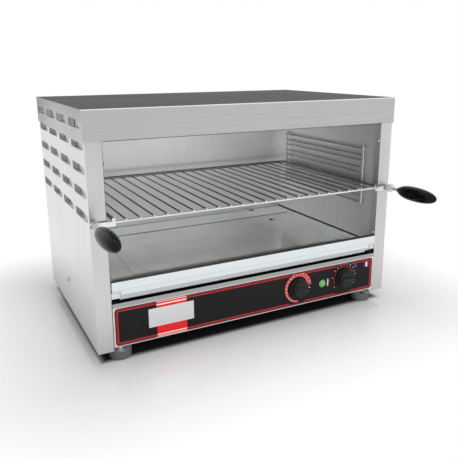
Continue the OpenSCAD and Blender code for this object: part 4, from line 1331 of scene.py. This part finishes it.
class MELTER_OT_stage(bpy.types.Operator):
    """Set the floor, the lamps, the world and the camera"""

    bl_idname = "melter.stage"
    bl_label = "Stage"

    def execute(self, context):
        self.floor(context)
        self.world(context)
        self.lamps(context)
        self.camera(context)
        return {"FINISHED"}

    def floor(self, context):
        """A pale floor with a painted shadow under the cabinet, which turns white further away."""
        bm = bmesh.new()
        bmesh.ops.create_grid(bm, x_segments=2, y_segments=2, size=6)
        mesh = bpy.data.meshes.new("floor")
        bm.to_mesh(mesh)
        bm.free()
        stage = context.scene.melter_stage
        made, tree = new_material("pale floor", tuple(stage.floor), 0.0, 0.16)
        shader = tree.nodes["Principled BSDF"]
        distance = self.from_footprint(tree)
        grain = noise(tree, even(1), 40, 3.0)
        pale = ramp(tree, grain, tone(stage.floor, 0.99), tone(stage.floor, 1.01))
        # painted shadow: the floor's colour and gloss fall away near and under the cabinet's
        # outline
        near = spread(tree, distance, 0.0, 1.0, *CONTACT)
        square = combine(tree, "MULTIPLY", near, near)
        inputs = {
            "Base Color": multiply(tree, pale, spread(tree, square, 0.02, 1.0, 0.0, 1.0)),
            "Specular IOR Level": spread(tree, square, 0.0, 0.5, 0.0, 1.0),
        }
        feed(tree, shader, inputs)
        away = spread(tree, distance, 0.0, 1.0, 0.0, stage.fade)
        share = combine(tree, "MULTIPLY", away, background_ray(tree))
        glow = add(tree, "ShaderNodeEmission", {"Color": (1, 1, 1, 1), "Strength": 1.0})
        self.mix(tree, share, shader, glow, tree.nodes["Material Output"])
        mesh.materials.append(made)
        floor = bpy.data.objects.new("floor", mesh)
        context.scene.collection.objects.link(floor)

    def from_footprint(self, tree):
        """Distance on the floor from the cabinet's outline, less than 0 under the cabinet."""
        low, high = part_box("top_cover")
        middle = ((low.x + high.x) / 2, (low.y + high.y) / 2, 0)
        half = ((high.x - low.x) / 2, (high.y - low.y) / 2, 0)
        value = object_place(tree)
        for operation, amount in (("SUBTRACT", middle), ("ABSOLUTE", None), ("SUBTRACT", half)):
            inputs = {0: value, 1: amount} if amount else {0: value}
            step = add(tree, "ShaderNodeVectorMath", inputs, operation=operation)
            value = step.outputs["Vector"]
        outer = add(tree, "ShaderNodeVectorMath", {0: value}, operation="MAXIMUM")
        length = add(tree, "ShaderNodeVectorMath", {0: outer.outputs["Vector"]}, operation="LENGTH")
        parts = add(tree, "ShaderNodeSeparateXYZ", {0: value}).outputs
        inner = combine(tree, "MINIMUM", combine(tree, "MAXIMUM", parts["X"], parts["Y"]), 0)
        return combine(tree, "ADD", length.outputs["Value"], inner)

    def mix(self, tree, share, first, second, out):
        """Shows the second shader by a share over the first."""
        inputs = {"Fac": share, 1: first.outputs[0], 2: second.outputs[0]}
        mixed = add(tree, "ShaderNodeMixShader", inputs)
        feed(tree, out, {"Surface": mixed.outputs[0]})

    def world(self, context):
        """Soft light on the object and a white background behind it."""
        world = bpy.data.worlds.new("studio")
        context.scene.world = world
        world.use_nodes = True
        tree = world.node_tree
        tree.nodes.clear()
        soft, white = (
            add(tree, "ShaderNodeBackground", {"Color": (1, 1, 1, 1), "Strength": strength})
            for strength in (0.5, 1.0)
        )
        self.mix(tree, background_ray(tree), soft, white, add(tree, "ShaderNodeOutputWorld"))

    def lamps(self, context):
        for name, power, size, place, aim in LAMPS:
            light = bpy.data.lights.new(name, "AREA")
            light.energy = power
            light.size = size
            lamp = bpy.data.objects.new(name, light)
            lamp.location = place
            towards = Vector(aim) - Vector(place)
            lamp.rotation_euler = towards.to_track_quat("-Z", "Y").to_euler()
            lamp.visible_glossy = False
            lamp.visible_camera = False
            context.scene.collection.objects.link(lamp)

    def camera(self, context):
        data = bpy.data.cameras.new("camera")
        data.lens = context.scene.melter_stage.lens
        data.sensor_width = 36
        data.shift_x, data.shift_y = CAMERA_SHIFT
        data.clip_start = 0.02
        camera = bpy.data.objects.new("camera", data)
        camera.location = at(*CAMERA_PLACE)
        camera.rotation_euler = [math.radians(a) for a in CAMERA_TURN]
        context.scene.collection.objects.link(camera)
        context.scene.camera = camera
        context.scene.view_settings.view_transform = "Standard"


OPERATORS = (
    MELTER_OT_cover,
    MELTER_OT_side_panels,
    MELTER_OT_inner_sheets,
    MELTER_OT_lining,
    MELTER_OT_tray,
    MELTER_OT_rack,
    MELTER_OT_shelf,
    MELTER_OT_grips,
    MELTER_OT_front,
    MELTER_OT_print,
    MELTER_OT_nameplate,
    MELTER_OT_knobs,
    MELTER_OT_lamp,
    MELTER_OT_heating,
    MELTER_OT_works,
    MELTER_OT_feet,
    MELTER_OT_screws,
    MELTER_OT_stage,
)


class MELTER_PT_panel(bpy.types.Panel):
    """Sidebar panel that lists the grill's settings and pieces"""

    bl_idname = "MELTER_PT_panel"
    bl_label = "Cheese melter"
    bl_space_type = "VIEW_3D"
    bl_region_type = "UI"
    bl_category = "Melter"

    def draw(self, context):
        for name in SETTINGS:
            settings = getattr(context.scene, name)
            box = self.layout.box()
            for key in settings.__annotations__:
                box.prop(settings, key)
        for operator in OPERATORS:
            self.layout.operator(operator.bl_idname)


SETTINGS = {"melter_steel": MelterSteel, "melter_print": MelterPrint, "melter_stage": MelterStage}
CLASSES = (*SETTINGS.values(), *OPERATORS, MELTER_PT_panel)


def register():
    for cls in CLASSES:
        bpy.utils.register_class(cls)
    for name, cls in SETTINGS.items():
        setattr(bpy.types.Scene, name, bpy.props.PointerProperty(type=cls))


def unregister():
    for name in SETTINGS:
        delattr(bpy.types.Scene, name)
    for cls in reversed(CLASSES):
        bpy.utils.unregister_class(cls)


def main():
    register()
    make_materials()
    for operator in OPERATORS:
        group, name = operator.bl_idname.split(".")
        getattr(getattr(bpy.ops, group), name)()


if __name__ == "__main__":
    main()
